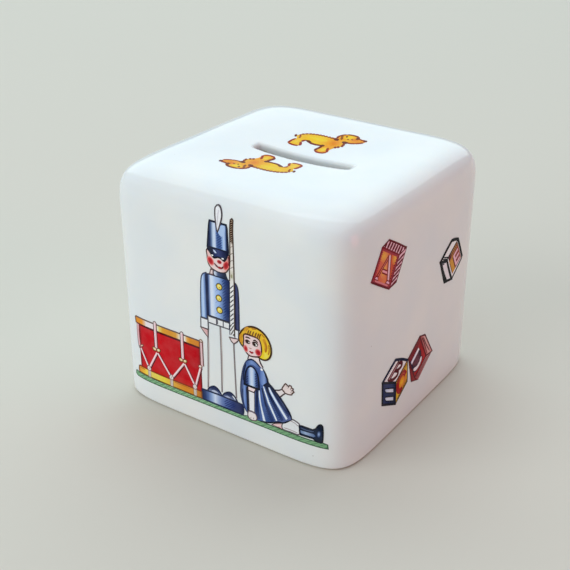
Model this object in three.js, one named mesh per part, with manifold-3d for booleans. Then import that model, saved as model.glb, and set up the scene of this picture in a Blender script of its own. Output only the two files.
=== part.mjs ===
// A square money box of slip-cast earthenware under a white glaze. It is one hollow casting with a
// coin slot in its dipped lid and a round emptying hole in its foot, closed by a soft vinyl stopper.
// Eighteen nursery prints, transfers fired onto the glaze, decorate the walls and the lid.
// Millimetres, +Z up, origin on the table under the middle of the box.
import * as THREE from "three";
import { mergeVertices } from "three/addons/utils/BufferGeometryUtils.js";
import Module from "manifold-3d";

const wasm = await Module();
wasm.setup();

// ---- driving dimensions ---------------------------------------------------------------------------

// The casting's outside. A Lame power of 2 gives a circle, and 8 gives a nearly square outline.
const WIDTH = 100;
const HEIGHT = 91;
const PLAN_POWER = 8;
const SHOULDER = 14.5;
const SHOULDER_POWER = 3.3;
const FOOT_ROUND = 1.6;
const LID_DIP = 2.5;
const DIP_MARGIN = 8;

// The casting's walls, and the hollow that they leave.
const WALL = 4;
const LID_WALL = 4.5;
const FLOOR = 4.5;
const INNER_FILLET = 3;

// The coin slot, between its straight sides, and the soft lip that the glaze leaves round it.
const SLOT_LENGTH = 40.4;
const SLOT_WIDTH = 5.2;
const SLOT_LIP = 1.3;
const SLOT_POWER = 7;

// The foot: a flat ring for the table, and a recess inside it that the stopper's flange sits in.
const FOOT_RING = 7;
const RECESS = 3.5;
const RECESS_DRAFT = 1;
const HOLE = 38;
const EDGE = 0.8;

// The stopper, moulded in one piece.
const STOPPER_GAP = 0.3;
const FLANGE_LIP = 4;
const FLANGE_THICK = 2.2;
const PLUG_PROUD = 4;
const PLUG_WALL = 2.2;
const PLUG_CHAMFER = 1.5;
const GRIP = 4;
const GRIP_SINK = 0.5;

// The prints: a thin skin of ink and flux, just clear of the glaze.
const PRINT_GAP = 0.3;
const PRINT_THICK = 0.2;
const SHEET_WIDTH = 85;
const SHEET_HEIGHT = 78.5;
const SHEET_SIDE_MARGIN = 7.5;
const SHEET_TOP_MARGIN = 3.7;
const SHEET_BOTTOM = 8.8;
const DOG_BEHIND_SLOT = 4.3;
const DOG_BEFORE_SLOT = 2;
const DOG_LEFT = 4;

const SEGMENTS = 64;
const CORNER_CROWDING = 0.45;

// ---- derived sizes --------------------------------------------------------------------------------

const HALF = WIDTH / 2;
const QUARTER = Math.PI / 2;
const RECESS_HALF = HALF - FOOT_ROUND - FOOT_RING;
const INNER_HALF = HALF - WALL;
const INNER_FLOOR = RECESS + FLOOR;
const INNER_SHOULDER = SHOULDER - WALL;
const HOLE_RADIUS = HOLE / 2;
const FLANGE_RADIUS = HOLE_RADIUS + FLANGE_LIP;
const DIP_REACH = HALF - DIP_MARGIN;

// ---- solids ---------------------------------------------------------------------------------------

// Merges a geometry's shared corners, drops triangles of no area, and hands it to manifold-3d.
function toSolid(geometry) {
  const bare = geometry.clone();
  bare.deleteAttribute("normal");
  bare.deleteAttribute("uv");
  const merged = mergeVertices(bare, 1e-4);
  const corners = merged.index.array;
  const kept = [];
  for (let i = 0; i < corners.length; i += 3) {
    const [a, b, c] = corners.slice(i, i + 3);
    if (a !== b && b !== c && c !== a) kept.push(a, b, c);
  }
  return new wasm.Manifold(new wasm.Mesh({
    numProp: 3,
    vertProperties: new Float32Array(merged.attributes.position.array),
    triVerts: new Uint32Array(kept),
  }));
}

function toGeometry(solid) {
  const mesh = solid.getMesh();
  const geometry = new THREE.BufferGeometry();
  geometry.setAttribute("position", new THREE.BufferAttribute(mesh.vertProperties, 3));
  geometry.setIndex(new THREE.BufferAttribute(mesh.triVerts, 1));
  geometry.computeVertexNormals();
  return geometry;
}

// ---- the casting ----------------------------------------------------------------------------------

// The unit Lame curve |x|^p + |y|^p = 1 in one direction.
function lame(angle, power) {
  const [c, s] = [Math.cos(angle), Math.sin(angle)];
  const reach = (Math.abs(c) ** power + Math.abs(s) ** power) ** (-1 / power);
  return [reach * c, reach * s];
}

// The plan curves that the rings of the casting follow.
const square = (half) => (angle) => lame(angle, PLAN_POWER).map((unit) => half * unit);
const circle = (radius) => (angle) => lame(angle, 2).map((unit) => radius * unit);
const slot = (grown) => (angle) => {
  const [x, y] = lame(angle, SLOT_POWER);
  return [(SLOT_LENGTH / 2 + grown) * x, (SLOT_WIDTH / 2 + grown) * y];
};
const between = (inner, outer, share) => (angle) => {
  const [[x0, y0], [x1, y1]] = [inner(angle), outer(angle)];
  return [x0 + (x1 - x0) * share, y0 + (y1 - y0) * share];
};

// How far the lid has sunk at a point: most in the middle, and nothing past DIP_REACH.
function dip(x, y) {
  const across = Math.max(0, 1 - (x / DIP_REACH) ** 2);
  const along = Math.max(0, 1 - (y / DIP_REACH) ** 2);
  return LID_DIP * across ** 2 * along ** 2;
}

// A ring is a plan curve at a height. Rings of the lid sink with it.
const flat = (curve, z) => (angle) => [...curve(angle), z];
const sunk = (curve, z) => (angle) => {
  const [x, y] = curve(angle);
  return [x, y, z - dip(x, y)];
};

// Rings round the shoulder, from the wall up to the lid.
function shoulderRings(half, top, reach, steps) {
  return Array.from({ length: steps + 1 }, (_, i) => {
    const turn = (i / steps) * QUARTER;
    const inset = reach * (1 - Math.cos(turn) ** (2 / SHOULDER_POWER));
    const rise = reach * Math.sin(turn) ** (2 / SHOULDER_POWER);
    return sunk(square(half - inset), top - reach + rise);
  });
}

// Rings from a slot outline across the lid to where the shoulder starts.
const lidRings = (from, half, z, shares) =>
  shares.map((share) => sunk(between(from, square(half), share), z));

// A lathe whose every ring is bent to its own plan curve.
function lathe(rings) {
  const profile = rings.map((_, i) => new THREE.Vector2(1, i));
  const geometry = new THREE.LatheGeometry(profile, SEGMENTS);
  const position = geometry.attributes.position;
  for (let i = 0; i < position.count; i += 1) {
    const turn = Math.floor(i / rings.length) % SEGMENTS;
    const even = (turn / SEGMENTS) * 4 * QUARTER;
    const angle = even + (CORNER_CROWDING / 4) * Math.sin(4 * even);
    position.setXYZ(i, ...rings[i % rings.length](angle));
  }
  return toSolid(geometry);
}

function bankBody() {
  const ceiling = HEIGHT - LID_WALL;
  const lip = [1 / 3, 2 / 3, 1].map((share) => {
    const turn = share * QUARTER;
    return sunk(slot(SLOT_LIP * (1 - Math.cos(turn))), HEIGHT - SLOT_LIP * (1 - Math.sin(turn)));
  });
  const foot = [0, 1 / 3, 2 / 3, 1].map((share) => {
    const turn = share * QUARTER;
    return flat(square(HALF - FOOT_ROUND * (1 - Math.cos(turn))), FOOT_ROUND * (1 - Math.sin(turn)));
  });
  const rings = [
    sunk(slot(EDGE), ceiling),
    sunk(slot(0), ceiling + EDGE),
    sunk(slot(0), HEIGHT - SLOT_LIP),
    ...lip,
    ...lidRings(slot(SLOT_LIP), HALF - SHOULDER, HEIGHT, [0.12, 0.3, 0.5, 0.75]),
    ...shoulderRings(HALF, HEIGHT, SHOULDER, 8).reverse(),
    ...foot,
    flat(square(RECESS_HALF), 0),
    flat(square(RECESS_HALF - RECESS_DRAFT), RECESS),
    flat(circle(HOLE_RADIUS + EDGE), RECESS),
    flat(circle(HOLE_RADIUS), RECESS + EDGE),
    flat(circle(HOLE_RADIUS), INNER_FLOOR - EDGE),
    flat(circle(HOLE_RADIUS + EDGE), INNER_FLOOR),
    flat(square(INNER_HALF - INNER_FILLET), INNER_FLOOR),
    flat(square(INNER_HALF), INNER_FLOOR + INNER_FILLET),
    ...shoulderRings(INNER_HALF, ceiling, INNER_SHOULDER, 4),
    ...lidRings(slot(EDGE), INNER_HALF - INNER_SHOULDER, ceiling, [0.6, 0.25]),
  ];
  return lathe([...rings, rings[0]].reverse());
}

// The outside of the casting grown by a little and filled in, to cut the prints from.
function skin(grown) {
  const top = HEIGHT + grown;
  const centre = flat(circle(0), FOOT_ROUND);
  const rings = [
    centre,
    flat(square(HALF + grown), FOOT_ROUND),
    ...shoulderRings(HALF + grown, top, SHOULDER + grown, 8),
    ...lidRings(circle(0), HALF - SHOULDER, top, [0.8, 0.6, 0.4, 0.2]),
    sunk(circle(0), top),
  ];
  return lathe(rings);
}

// ---- the stopper ----------------------------------------------------------------------------------

// A cup that opens downwards, with a flange under the floor and a bar across to pull it by.
function stopper() {
  const plug = HOLE_RADIUS - STOPPER_GAP;
  const inside = plug - PLUG_WALL;
  const seat = RECESS - STOPPER_GAP;
  const under = seat - FLANGE_THICK;
  const top = INNER_FLOOR + PLUG_PROUD;
  const cup = lathe([
    flat(circle(0), top - PLUG_WALL),
    flat(circle(inside - EDGE), top - PLUG_WALL),
    flat(circle(inside), top - PLUG_WALL - EDGE),
    flat(circle(inside), under + EDGE),
    flat(circle(inside + EDGE), under),
    flat(circle(FLANGE_RADIUS - EDGE), under),
    flat(circle(FLANGE_RADIUS), under + EDGE),
    flat(circle(FLANGE_RADIUS), seat),
    flat(circle(plug), seat),
    flat(circle(plug), top - PLUG_CHAMFER),
    flat(circle(plug - PLUG_CHAMFER), top),
    flat(circle(0), top),
  ]);
  const low = under + GRIP_SINK;
  const high = top - PLUG_WALL / 2;
  const bar = new THREE.BoxGeometry(GRIP, 2 * inside + PLUG_WALL, high - low);
  bar.translate(0, 0, (low + high) / 2);
  return cup.add(toSolid(bar));
}

// ---- the prints -----------------------------------------------------------------------------------

// Outlines are drawn as the wall is seen from outside: u to the right of its middle, v up from the
// table. The dog is drawn from the middle of the line that its feet stand on.
const polygon = (...points) => new THREE.Shape(points.map(([u, v]) => new THREE.Vector2(u, v)));
function oval(u, v, halfWide, halfHigh, tilt = 0) {
  const shape = new THREE.Shape();
  shape.absellipse(u, v, halfWide, halfHigh, 0, 2 * Math.PI, false, tilt);
  return shape;
}

const ground = () => [polygon([-41.8, 8.8], [42.8, 8.8], [42.8, 10.8], [-41.4, 10.8])];

const drum = () => [
  polygon([-39.9, 31.8], [-8, 31.8], [-8, 34.8], [-39.9, 34.8]),
  polygon([-38.9, 13.5], [-9.4, 13.5], [-9.4, 15.8], [-8.3, 24], [-8.3, 32], [-38.9, 32]),
  polygon([-39.6, 11.1], [-9.3, 11.1], [-9.3, 13.9], [-39.6, 13.9]),
  oval(-29.6, 34.8, 0.9, 1),
  oval(-17.2, 34.8, 0.9, 1),
];

const soldier = () => [
  oval(0.3, 83.1, 1.7, 4.2),
  polygon([-4.2, 70.5], [4.9, 70.5], [4, 81.9], [-3, 81.9]),
  oval(0.4, 68.4, 4.8, 4.4),
  polygon([-3.6, 61.8], [3.9, 61.8], [3.1, 65.6], [-2.8, 65.6]),
  polygon([-7.8, 57], [-8.2, 40.4], [-5, 37.4], [6, 38], [7.9, 40.8], [8.4, 57], [7, 62.4], [-6, 62.4]),
  polygon([-6.3, 15], [6.7, 15], [6.1, 43], [-5.3, 43]),
  oval(-3.1, 15.4, 3.3, 2.8),
  oval(3.4, 15.4, 3.3, 2.8),
  polygon([-9, 11.1], [9.2, 11.1], [9.2, 15.3], [-9, 15.3]),
  polygon([5, 60], [6.7, 60], [6.5, 84.2], [5.3, 84.2]),
];

const doll = () => [
  oval(15, 42, 6.4, 5.8),
  polygon([11.4, 33], [18.2, 33], [16.4, 38], [11.8, 38]),
  oval(14, 31.5, 4.2, 3.5),
  polygon([9.8, 31], [8.2, 20], [9.7, 15.4], [11.6, 11.8], [19.5, 11.3], [29.6, 16.9], [25, 23.8],
    [19.8, 28.4], [17.8, 33]),
  oval(13, 12.8, 1.9, 1.6),
  polygon([21, 27], [24.6, 23], [28, 26.4], [26, 28.4]),
  oval(28, 28.3, 2.1, 2),
  polygon([23, 11.3], [33, 11.8], [33, 15.6], [29, 17]),
  polygon([32.6, 11.8], [38, 11.3], [41.1, 11.3], [40.9, 17.6], [40, 18.3], [38, 15.7], [32.6, 15.9]),
];

const blockUpper = () =>
  [polygon([-35.2, 68.2], [-24, 61.2], [-19.4, 61.8], [-13.3, 72], [-25.2, 79.2], [-29.4, 78.2])];
const blockMiddle = () =>
  [polygon([13.4, 55.4], [18.3, 45.8], [24.6, 44.3], [32.5, 50.3], [27, 59.8], [21.8, 61])];
const blockLower = () =>
  [polygon([-25.5, 25.8], [-24.8, 16.5], [-15, 11.5], [-7, 17.3], [-7.9, 26], [-16.8, 30.6])];
const blockFallen = () =>
  [polygon([-7.2, 26.2], [-3.6, 14.6], [1.8, 12.7], [11.9, 20], [5, 30.1], [1, 31.3])];

const dog = () => [
  polygon([-8.6, 6], [-4.4, 6.6], [0, 5], [4, 5], [8.2, 5.6], [10.3, 8.6], [10.3, 11], [6, 13],
    [-1, 13.2], [-7, 12.2], [-9.6, 9.6]),
  polygon([-8.4, 0.8], [-3.6, 1], [-4.6, 7], [-8.6, 7]),
  polygon([3.7, 0.2], [6, -0.6], [8.5, 0.6], [8, 6.5], [3.6, 6]),
  oval(8.6, 15.2, 4.4, 3.6),
  polygon([11, 12.2], [14, 12.6], [16.2, 15.6], [15, 17], [11.5, 17.8]),
  oval(-10, 8.3, 0.7, 1.3, -0.5),
];

const outerSkin = skin(PRINT_GAP + PRINT_THICK);
const innerSkin = skin(PRINT_GAP);

// Extrudes the outlines through the skin, and keeps what lies within it. The matrix stands the
// drawing up against the front wall, or lays it over the lid.
function print(outlines, place) {
  const stamp = outlines
    .map((shape) => new THREE.ExtrudeGeometry(shape, {
      depth: WIDTH, bevelEnabled: false, curveSegments: 5,
    }))
    .map((geometry) => toSolid(geometry.applyMatrix4(place)))
    .reduce((whole, piece) => whole.add(piece));
  return toGeometry(stamp.intersect(outerSkin).subtract(innerSkin));
}

// A sheet is fitted to the wall between its margins. It is 1 to 1 on a box of the usual size.
const SHEET_SCALE = Math.min(
  (WIDTH - 2 * SHEET_SIDE_MARGIN) / SHEET_WIDTH,
  (HEIGHT - SHEET_BOTTOM - SHEET_TOP_MARGIN) / SHEET_HEIGHT,
);
const onFrontWall = new THREE.Matrix4()
  .makeTranslation(0, -(HALF - SHOULDER), SHEET_BOTTOM)
  .multiply(new THREE.Matrix4().makeRotationX(QUARTER))
  .multiply(new THREE.Matrix4().makeScale(SHEET_SCALE, SHEET_SCALE, 1))
  .multiply(new THREE.Matrix4().makeTranslation(0, -SHEET_BOTTOM, 0));

function onLid(x, y, turn) {
  return new THREE.Matrix4()
    .makeTranslation(x, y, HEIGHT - SHOULDER)
    .multiply(new THREE.Matrix4().makeRotationZ(turn))
    .multiply(new THREE.Matrix4().makeScale(SHEET_SCALE, SHEET_SCALE, 1));
}

// ---- the assembly ---------------------------------------------------------------------------------

const glaze = new THREE.MeshStandardMaterial({ color: "#eef1f0", roughness: 0.12, metalness: 0 });
const vinyl = new THREE.MeshStandardMaterial({ color: "#e9e7e0", roughness: 0.5, metalness: 0 });
const ink = (color) => new THREE.MeshStandardMaterial({ color, roughness: 0.2, metalness: 0 });

const group = new THREE.Group();

function addPiece(name, geometry, material, turn = 0) {
  const mesh = new THREE.Mesh(geometry, material);
  mesh.name = name;
  mesh.rotation.z = turn;
  group.add(mesh);
}

addPiece("bank_body", toGeometry(bankBody()), glaze);
addPiece("stopper", toGeometry(stopper()), vinyl);

// Front and back carry the toy scene, and the two side walls the tumbling blocks. Each pair is the
// same sheet, half a turn apart.
const wallPrints = [
  ["ground", ground, "#6eaa6e", 0],
  ["drum", drum, "#cd1e28", 0],
  ["soldier", soldier, "#465f96", 0],
  ["doll", doll, "#465f96", 0],
  ["block_upper", blockUpper, "#be283c", QUARTER],
  ["block_middle", blockMiddle, "#1e2346", QUARTER],
  ["block_lower", blockLower, "#d9b23c", QUARTER],
  ["block_fallen", blockFallen, "#9b1432", QUARTER],
];
for (const [name, outlines, color, turn] of wallPrints) {
  const geometry = print(outlines(), onFrontWall);
  const [near, far] = turn === 0 ? ["front", "back"] : ["right", "left"];
  addPiece(`${near}_${name}`, geometry, ink(color), turn);
  addPiece(`${far}_${name}`, geometry, ink(color), turn + Math.PI);
}

const slotSide = SLOT_WIDTH / 2 + SLOT_LIP;
const behind = onLid(-DOG_LEFT, slotSide + DOG_BEHIND_SLOT, 0);
const before = onLid(-DOG_LEFT, -slotSide - DOG_BEFORE_SLOT, Math.PI);
addPiece("lid_dog_back", print(dog(), behind), ink("#fcd228"));
addPiece("lid_dog_front", print(dog(), before), ink("#fcd228"));

export default group;
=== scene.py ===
# %% [markdown]
# A glazed earthenware money box, printed with nursery toys.
# The real box is one hollow casting. Clay slip is poured into a plaster mould, left to stiffen
# against its walls and poured out again, then fired, glazed white and fired again. Printed
# transfers are laid on the glaze and fired a third time, so the pictures sink into the gloss.
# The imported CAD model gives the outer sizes, and the sizes written here are the ones it was made
# with. This script makes the fine surfaces over it.

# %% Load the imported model
import math

import bmesh
import bpy
from mathutils import Matrix, Vector


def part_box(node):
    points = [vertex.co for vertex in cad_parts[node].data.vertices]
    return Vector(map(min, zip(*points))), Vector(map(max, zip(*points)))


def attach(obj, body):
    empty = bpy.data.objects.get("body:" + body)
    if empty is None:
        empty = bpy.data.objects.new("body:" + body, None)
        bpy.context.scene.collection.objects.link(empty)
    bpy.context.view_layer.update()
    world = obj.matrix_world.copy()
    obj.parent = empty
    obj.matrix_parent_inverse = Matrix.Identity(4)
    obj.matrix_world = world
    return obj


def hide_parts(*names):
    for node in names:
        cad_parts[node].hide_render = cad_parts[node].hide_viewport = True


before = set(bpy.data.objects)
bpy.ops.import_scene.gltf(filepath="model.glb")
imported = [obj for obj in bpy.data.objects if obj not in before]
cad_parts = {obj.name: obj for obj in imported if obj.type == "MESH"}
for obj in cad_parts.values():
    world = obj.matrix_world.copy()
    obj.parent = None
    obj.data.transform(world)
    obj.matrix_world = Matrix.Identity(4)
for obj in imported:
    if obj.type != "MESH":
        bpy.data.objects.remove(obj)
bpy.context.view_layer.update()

MM = 0.001

# %% [markdown]
# ## The form of the casting
# The plan is a Lame curve: with a power of 2 it is a circle, and with 8 it is a square whose sides
# bow and whose corners are soft, which is how a plaster mould leaves a square pot. The shoulder is
# a Lame curve too, a little squarer than a plain fillet. The lid has sunk in the middle, as flat
# clay does in the kiln, so its light rolls off towards the slot.

# %% Sizes of the casting, in millimetres
body_low, body_high = (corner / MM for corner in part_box("bank_body"))
HALF = (body_high.x - body_low.x) / 2
HEIGHT = body_high.z
PLAN_POWER = 8
SHOULDER = 14.5
SHOULDER_POWER = 3.3
FOOT_ROUND = 1.6
LID_DIP = 2.5
DIP_MARGIN = 8
DIP_REACH = HALF - DIP_MARGIN

WALL = 4
LID_WALL = 4.5
FLOOR = 4.5
INNER_FILLET = 3
EDGE = 0.8

SLOT_HALF_LENGTH = 20.2
SLOT_HALF_WIDTH = 2.6
SLOT_LIP = 1.3
SLOT_POWER = 7

FOOT_RING = 7
RECESS = 3.5
RECESS_DRAFT = 1
HOLE_RADIUS = 19

SEGMENTS = 256
CORNER_CROWDING = 0.45
print("half width", round(HALF, 2), "mm, height", round(HEIGHT, 2), "mm")


# %% Curves of the plan
def lame(angle, power):
    """The unit Lame curve |x|^p + |y|^p = 1 in one direction."""
    c, s = math.cos(angle), math.sin(angle)
    reach = (abs(c) ** power + abs(s) ** power) ** (-1 / power)
    return reach * c, reach * s


def square(half):
    return lambda angle: [half * unit for unit in lame(angle, PLAN_POWER)]


def circle(radius):
    return lambda angle: [radius * unit for unit in lame(angle, 2)]


def slot(grown):
    def curve(angle):
        x, y = lame(angle, SLOT_POWER)
        return (SLOT_HALF_LENGTH + grown) * x, (SLOT_HALF_WIDTH + grown) * y
    return curve


def between(inner, outer, share):
    return lambda angle: [a + (b - a) * share for a, b in zip(inner(angle), outer(angle))]


# %% Lid, shoulder and wall
SLOW_WAVE = 0.07
QUICK_WAVE = 0.02
STILL_FOOT = 8


def dip(x, y):
    """How far the lid has sunk at a point."""
    across = max(0, 1 - (x / DIP_REACH) ** 2)
    along = max(0, 1 - (y / DIP_REACH) ** 2)
    return LID_DIP * across ** 2 * along ** 2


def shoulder_inset(rise):
    """How far the shoulder has drawn in, at a share of its rise."""
    return SHOULDER * (1 - (1 - min(1, max(0, rise)) ** SHOULDER_POWER) ** (1 / SHOULDER_POWER))


def waver(point):
    """A hand-made wall is never quite true: waves of a few hundredths of a millimetre bend the
    highlights. The waves are the same half a turn round, and die out at the flat foot. The
    numbers inside the cosines are radians for each millimetre."""
    x, y, z = point
    slow = SLOW_WAVE * math.cos(0.09 * x + 0.06 * y) * math.cos(0.07 * z + 0.6)
    quick = QUICK_WAVE * math.cos(0.17 * x - 0.21 * y) * math.sin(0.19 * z)
    return (slow + quick) * min(1, max(0, z / STILL_FOOT))


print("the lid has sunk", round(dip(0, 0), 2), "mm in the middle")

# %% [markdown]
# ## Lofting the casting
# A ring of edges is extruded once for every contour of the pot, and each new ring is moved onto
# its own curve: slot, lid, shoulder, wall, foot, recess, hole, and back up the hollow inside.
# The last ring is then bridged to the first, so the shell is closed. Subdividing a box would be
# quicker, but could not turn a long slot into a square and a square into a round hole so evenly.
# Each ring also carries how much glaze it has: all of it outside, none in the hollow or where
# the foot was wiped before firing.


# %% Rings
def ring(curve, z, glaze, sinks=False, outside=False):
    """One contour: its curve and height, its share of glaze, and whether it sinks with the lid."""
    return {"curve": curve, "z": z, "glaze": glaze, "sinks": sinks, "outside": outside}


def steps(first, last, count):
    """Even steps that end exactly on the last value."""
    return [first + (last - first) * i / count for i in range(count)] + [last]


def quarter(count):
    return steps(0, math.pi / 2, count)


# %% Loft through the rings
def loft(bm, rings):
    """Extrudes a circle of edges through every ring, then bridges the last to the first."""
    turn = bm.verts.layers.int.new("turn")
    glaze = bm.verts.layers.float.new("glaze")
    outside = bm.verts.layers.int.new("outside")

    def place(verts, spec):
        for vert in verts:
            even = vert[turn] / SEGMENTS * 2 * math.pi
            angle = even + CORNER_CROWDING / 4 * math.sin(4 * even)
            x, y = spec["curve"](angle)
            vert.co = x, y, spec["z"] - (dip(x, y) if spec["sinks"] else 0)
            vert[glaze] = spec["glaze"]
            vert[outside] = int(spec["outside"])

    start = bmesh.ops.create_circle(bm, segments=SEGMENTS, radius=1)["verts"]
    for i, vert in enumerate(start):
        vert[turn] = i
    first = edges = bm.edges[:]
    place(start, rings[0])
    for spec in rings[1:]:
        made = bmesh.ops.extrude_edge_only(bm, edges=edges)["geom"]
        place([part for part in made if isinstance(part, bmesh.types.BMVert)], spec)
        edges = [part for part in made if isinstance(part, bmesh.types.BMEdge) and part.is_boundary]
    bmesh.ops.bridge_loops(bm, edges=first + edges)
    bmesh.ops.recalc_face_normals(bm, faces=bm.faces)


# %% Finish a piece
def finished(bm, name, body, replaced, material):
    """Turns a bmesh in millimetres into a smooth piece in metres that rides on a CAD body."""
    bmesh.ops.scale(bm, vec=(MM, MM, MM), verts=bm.verts)
    for face in bm.faces:
        face.smooth = True
    mesh = bpy.data.meshes.new(name)
    bm.to_mesh(mesh)
    bm.free()
    piece = bpy.data.objects.new(name, mesh)
    bpy.context.scene.collection.objects.link(piece)
    mesh.materials.append(material)
    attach(piece, body)
    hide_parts(replaced)
    print(name, len(mesh.polygons), "faces")


# %% [markdown]
# ## Colours and nodes
# Inks and glazes are written as sRGB hex, the way a colour chart gives them, and one function
# turns them into the linear values that Blender renders with. One small function adds a node,
# sets its inputs and links it, which keeps every material below to a few readable lines.


# %% Colours
def linear(hex_colour):
    """An sRGB hex colour as linear red, green, blue and alpha."""
    parts = [int(hex_colour[i:i + 2], 16) / 255 for i in (0, 2, 4)]
    bent = [p / 12.92 if p <= 0.04045 else ((p + 0.055) / 1.055) ** 2.4 for p in parts]
    return (*bent, 1.0)


# %% Nodes
def add(tree, kind, inputs=None, **settings):
    """Adds a node with its settings. An input is a value, or a socket to link from."""
    node = tree.nodes.new("ShaderNode" + kind)
    for name, value in settings.items():
        setattr(node, name, value)
    for name, value in (inputs or {}).items():
        if isinstance(value, bpy.types.NodeSocket):
            tree.links.new(value, node.inputs[name])
        else:
            node.inputs[name].default_value = value
    return node


def new_material(name):
    """An empty material, its tree and its one shader."""
    material = bpy.data.materials.new(name)
    material.use_nodes = True
    tree = material.node_tree
    tree.nodes.clear()
    shader = add(tree, "BsdfPrincipled")
    add(tree, "OutputMaterial", {"Surface": shader.outputs[0]})
    print("material:", name)
    return material, tree, shader


# %% Patterns
def noise(tree, where, size_mm, detail=2.0):
    """Soft noise whose blotches are about size_mm across."""
    return add(tree, "TexNoise", {"Vector": where, "Scale": 1 / (size_mm * MM), "Detail": detail})


def spread(tree, value, low, high, to_low, to_high):
    """Carries the range low..high of a value to another range, and holds it there."""
    inputs = {"Value": value, "From Min": low, "From Max": high, "To Min": to_low, "To Max": to_high}
    return add(tree, "MapRange", inputs).outputs[0]


def mix(tree, share, first, second):
    """Mixes two colours."""
    node = add(tree, "Mix", data_type="RGBA")
    for socket, value in ((0, share), (6, first), (7, second)):
        if isinstance(value, bpy.types.NodeSocket):
            tree.links.new(value, node.inputs[socket])
        else:
            node.inputs[socket].default_value = value
    return node.outputs[2]


# %% [markdown]
# ## White glaze over earthenware
# The glaze is a layer of opaque white glass about 0.3 mm thick. It is never perfectly level: it
# has orange peel a few millimetres across, it pools a little thicker and bluer in low places, and
# gas leaves a rare pinhole. Under it is porous cream biscuit, which is bare on the wiped foot,
# in the hollow and down the slot, where glaze runs in a few millimetres and stops. One material
# does both, because the real edge between them is a ragged line and not a seam.


# %% Glaze and biscuit
RAGGED_EDGE, POOLS, PINHOLE_SPACING, PEEL, GLOSS_PATCHES = 1.6, 26, 11, 4.2, 9
BISCUIT_GRAIN, BISCUIT_TOOTH = 0.7, 0.5
GLAZE_ROUGHNESS = (0.07, 0.12)
BISCUIT_ROUGHER_BY = 0.72


def glazed_earthenware():
    material, tree, shader = new_material("opaque white glaze on slip-cast earthenware")
    where = add(tree, "TexCoord").outputs["Object"]
    cover = add(tree, "Attribute", attribute_name="glaze").outputs["Fac"]

    ragged = noise(tree, where, RAGGED_EDGE, 4).outputs[0]
    edge = add(tree, "Math", {0: cover, 1: ragged}, operation="ADD").outputs[0]
    glazed = spread(tree, edge, 0.93, 1.07, 0.0, 1.0)

    pooled = spread(tree, noise(tree, where, POOLS).outputs[0], 0.35, 0.65, 0.0, 1.0)
    glaze_colour = mix(tree, pooled, linear("f3f4f1"), linear("ecf0f1"))
    pinhole = add(tree, "TexVoronoi", {"Vector": where, "Scale": 1 / (PINHOLE_SPACING * MM)})
    speck = spread(tree, pinhole.outputs["Distance"], 0.012, 0.022, 0.75, 0.0)
    glaze_colour = mix(tree, speck, glaze_colour, linear("a89e90"))

    grains = spread(tree, noise(tree, where, BISCUIT_GRAIN, 5).outputs[0], 0.3, 0.7, 0.0, 1.0)
    biscuit = mix(tree, grains, linear("cdc2ac"), linear("e0d7c4"))
    tree.links.new(mix(tree, glazed, biscuit, glaze_colour), shader.inputs["Base Color"])

    gloss = spread(tree, noise(tree, where, GLOSS_PATCHES).outputs[0], 0.3, 0.7, *GLAZE_ROUGHNESS)
    dry = spread(tree, glazed, 0.0, 1.0, BISCUIT_ROUGHER_BY, 0.0)
    rough = add(tree, "Math", {0: gloss, 1: dry}, operation="ADD").outputs[0]
    tree.links.new(rough, shader.inputs["Roughness"])

    peel = noise(tree, where, PEEL, 1).outputs[0]
    low = add(tree, "Bump", {"Height": peel, "Strength": 0.55, "Distance": 0.02 * MM})
    clay = noise(tree, where, BISCUIT_TOOTH, 3).outputs[0]
    bare = spread(tree, glazed, 0.0, 1.0, 0.6, 0.0)
    fine = add(tree, "Bump", {"Height": clay, "Strength": bare, "Distance": 0.05 * MM,
                              "Normal": low.outputs[0]})
    tree.links.new(fine.outputs[0], shader.inputs["Normal"])

    shader.inputs["IOR"].default_value = 1.52
    shader.inputs["Subsurface Weight"].default_value = 0.12
    shader.inputs["Subsurface Radius"].default_value = (1.0, 0.8, 0.6)
    shader.inputs["Subsurface Scale"].default_value = 1.2 * MM
    return material


# %% [markdown]
# ## From the slot to the hollow
# The rings are written in the order that a finger would run over the pot: up through the slot,
# over its rolled lip, across the lid, down the shoulder and the wall, round the foot and into the
# recess, up the hole, and then inside, back to the slot. Rounded parts get many rings, because
# gloss shows every flat. The rings of the lid are crowded towards the slot, where the shape
# changes from long and thin to square.

# %% Loft the casting
SLOT_RINGS, LIP_RINGS, LID_RINGS, SHOULDER_RINGS = 6, 7, 22, 26
WALL_RINGS, FOOT_RINGS, INSIDE_RINGS = 24, 6, 8
LID_CROWDING = 1.3
FOOT_FLAT_EDGE = 0.5
RING_ROUND = 0.6
COVE = 0.8


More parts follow.
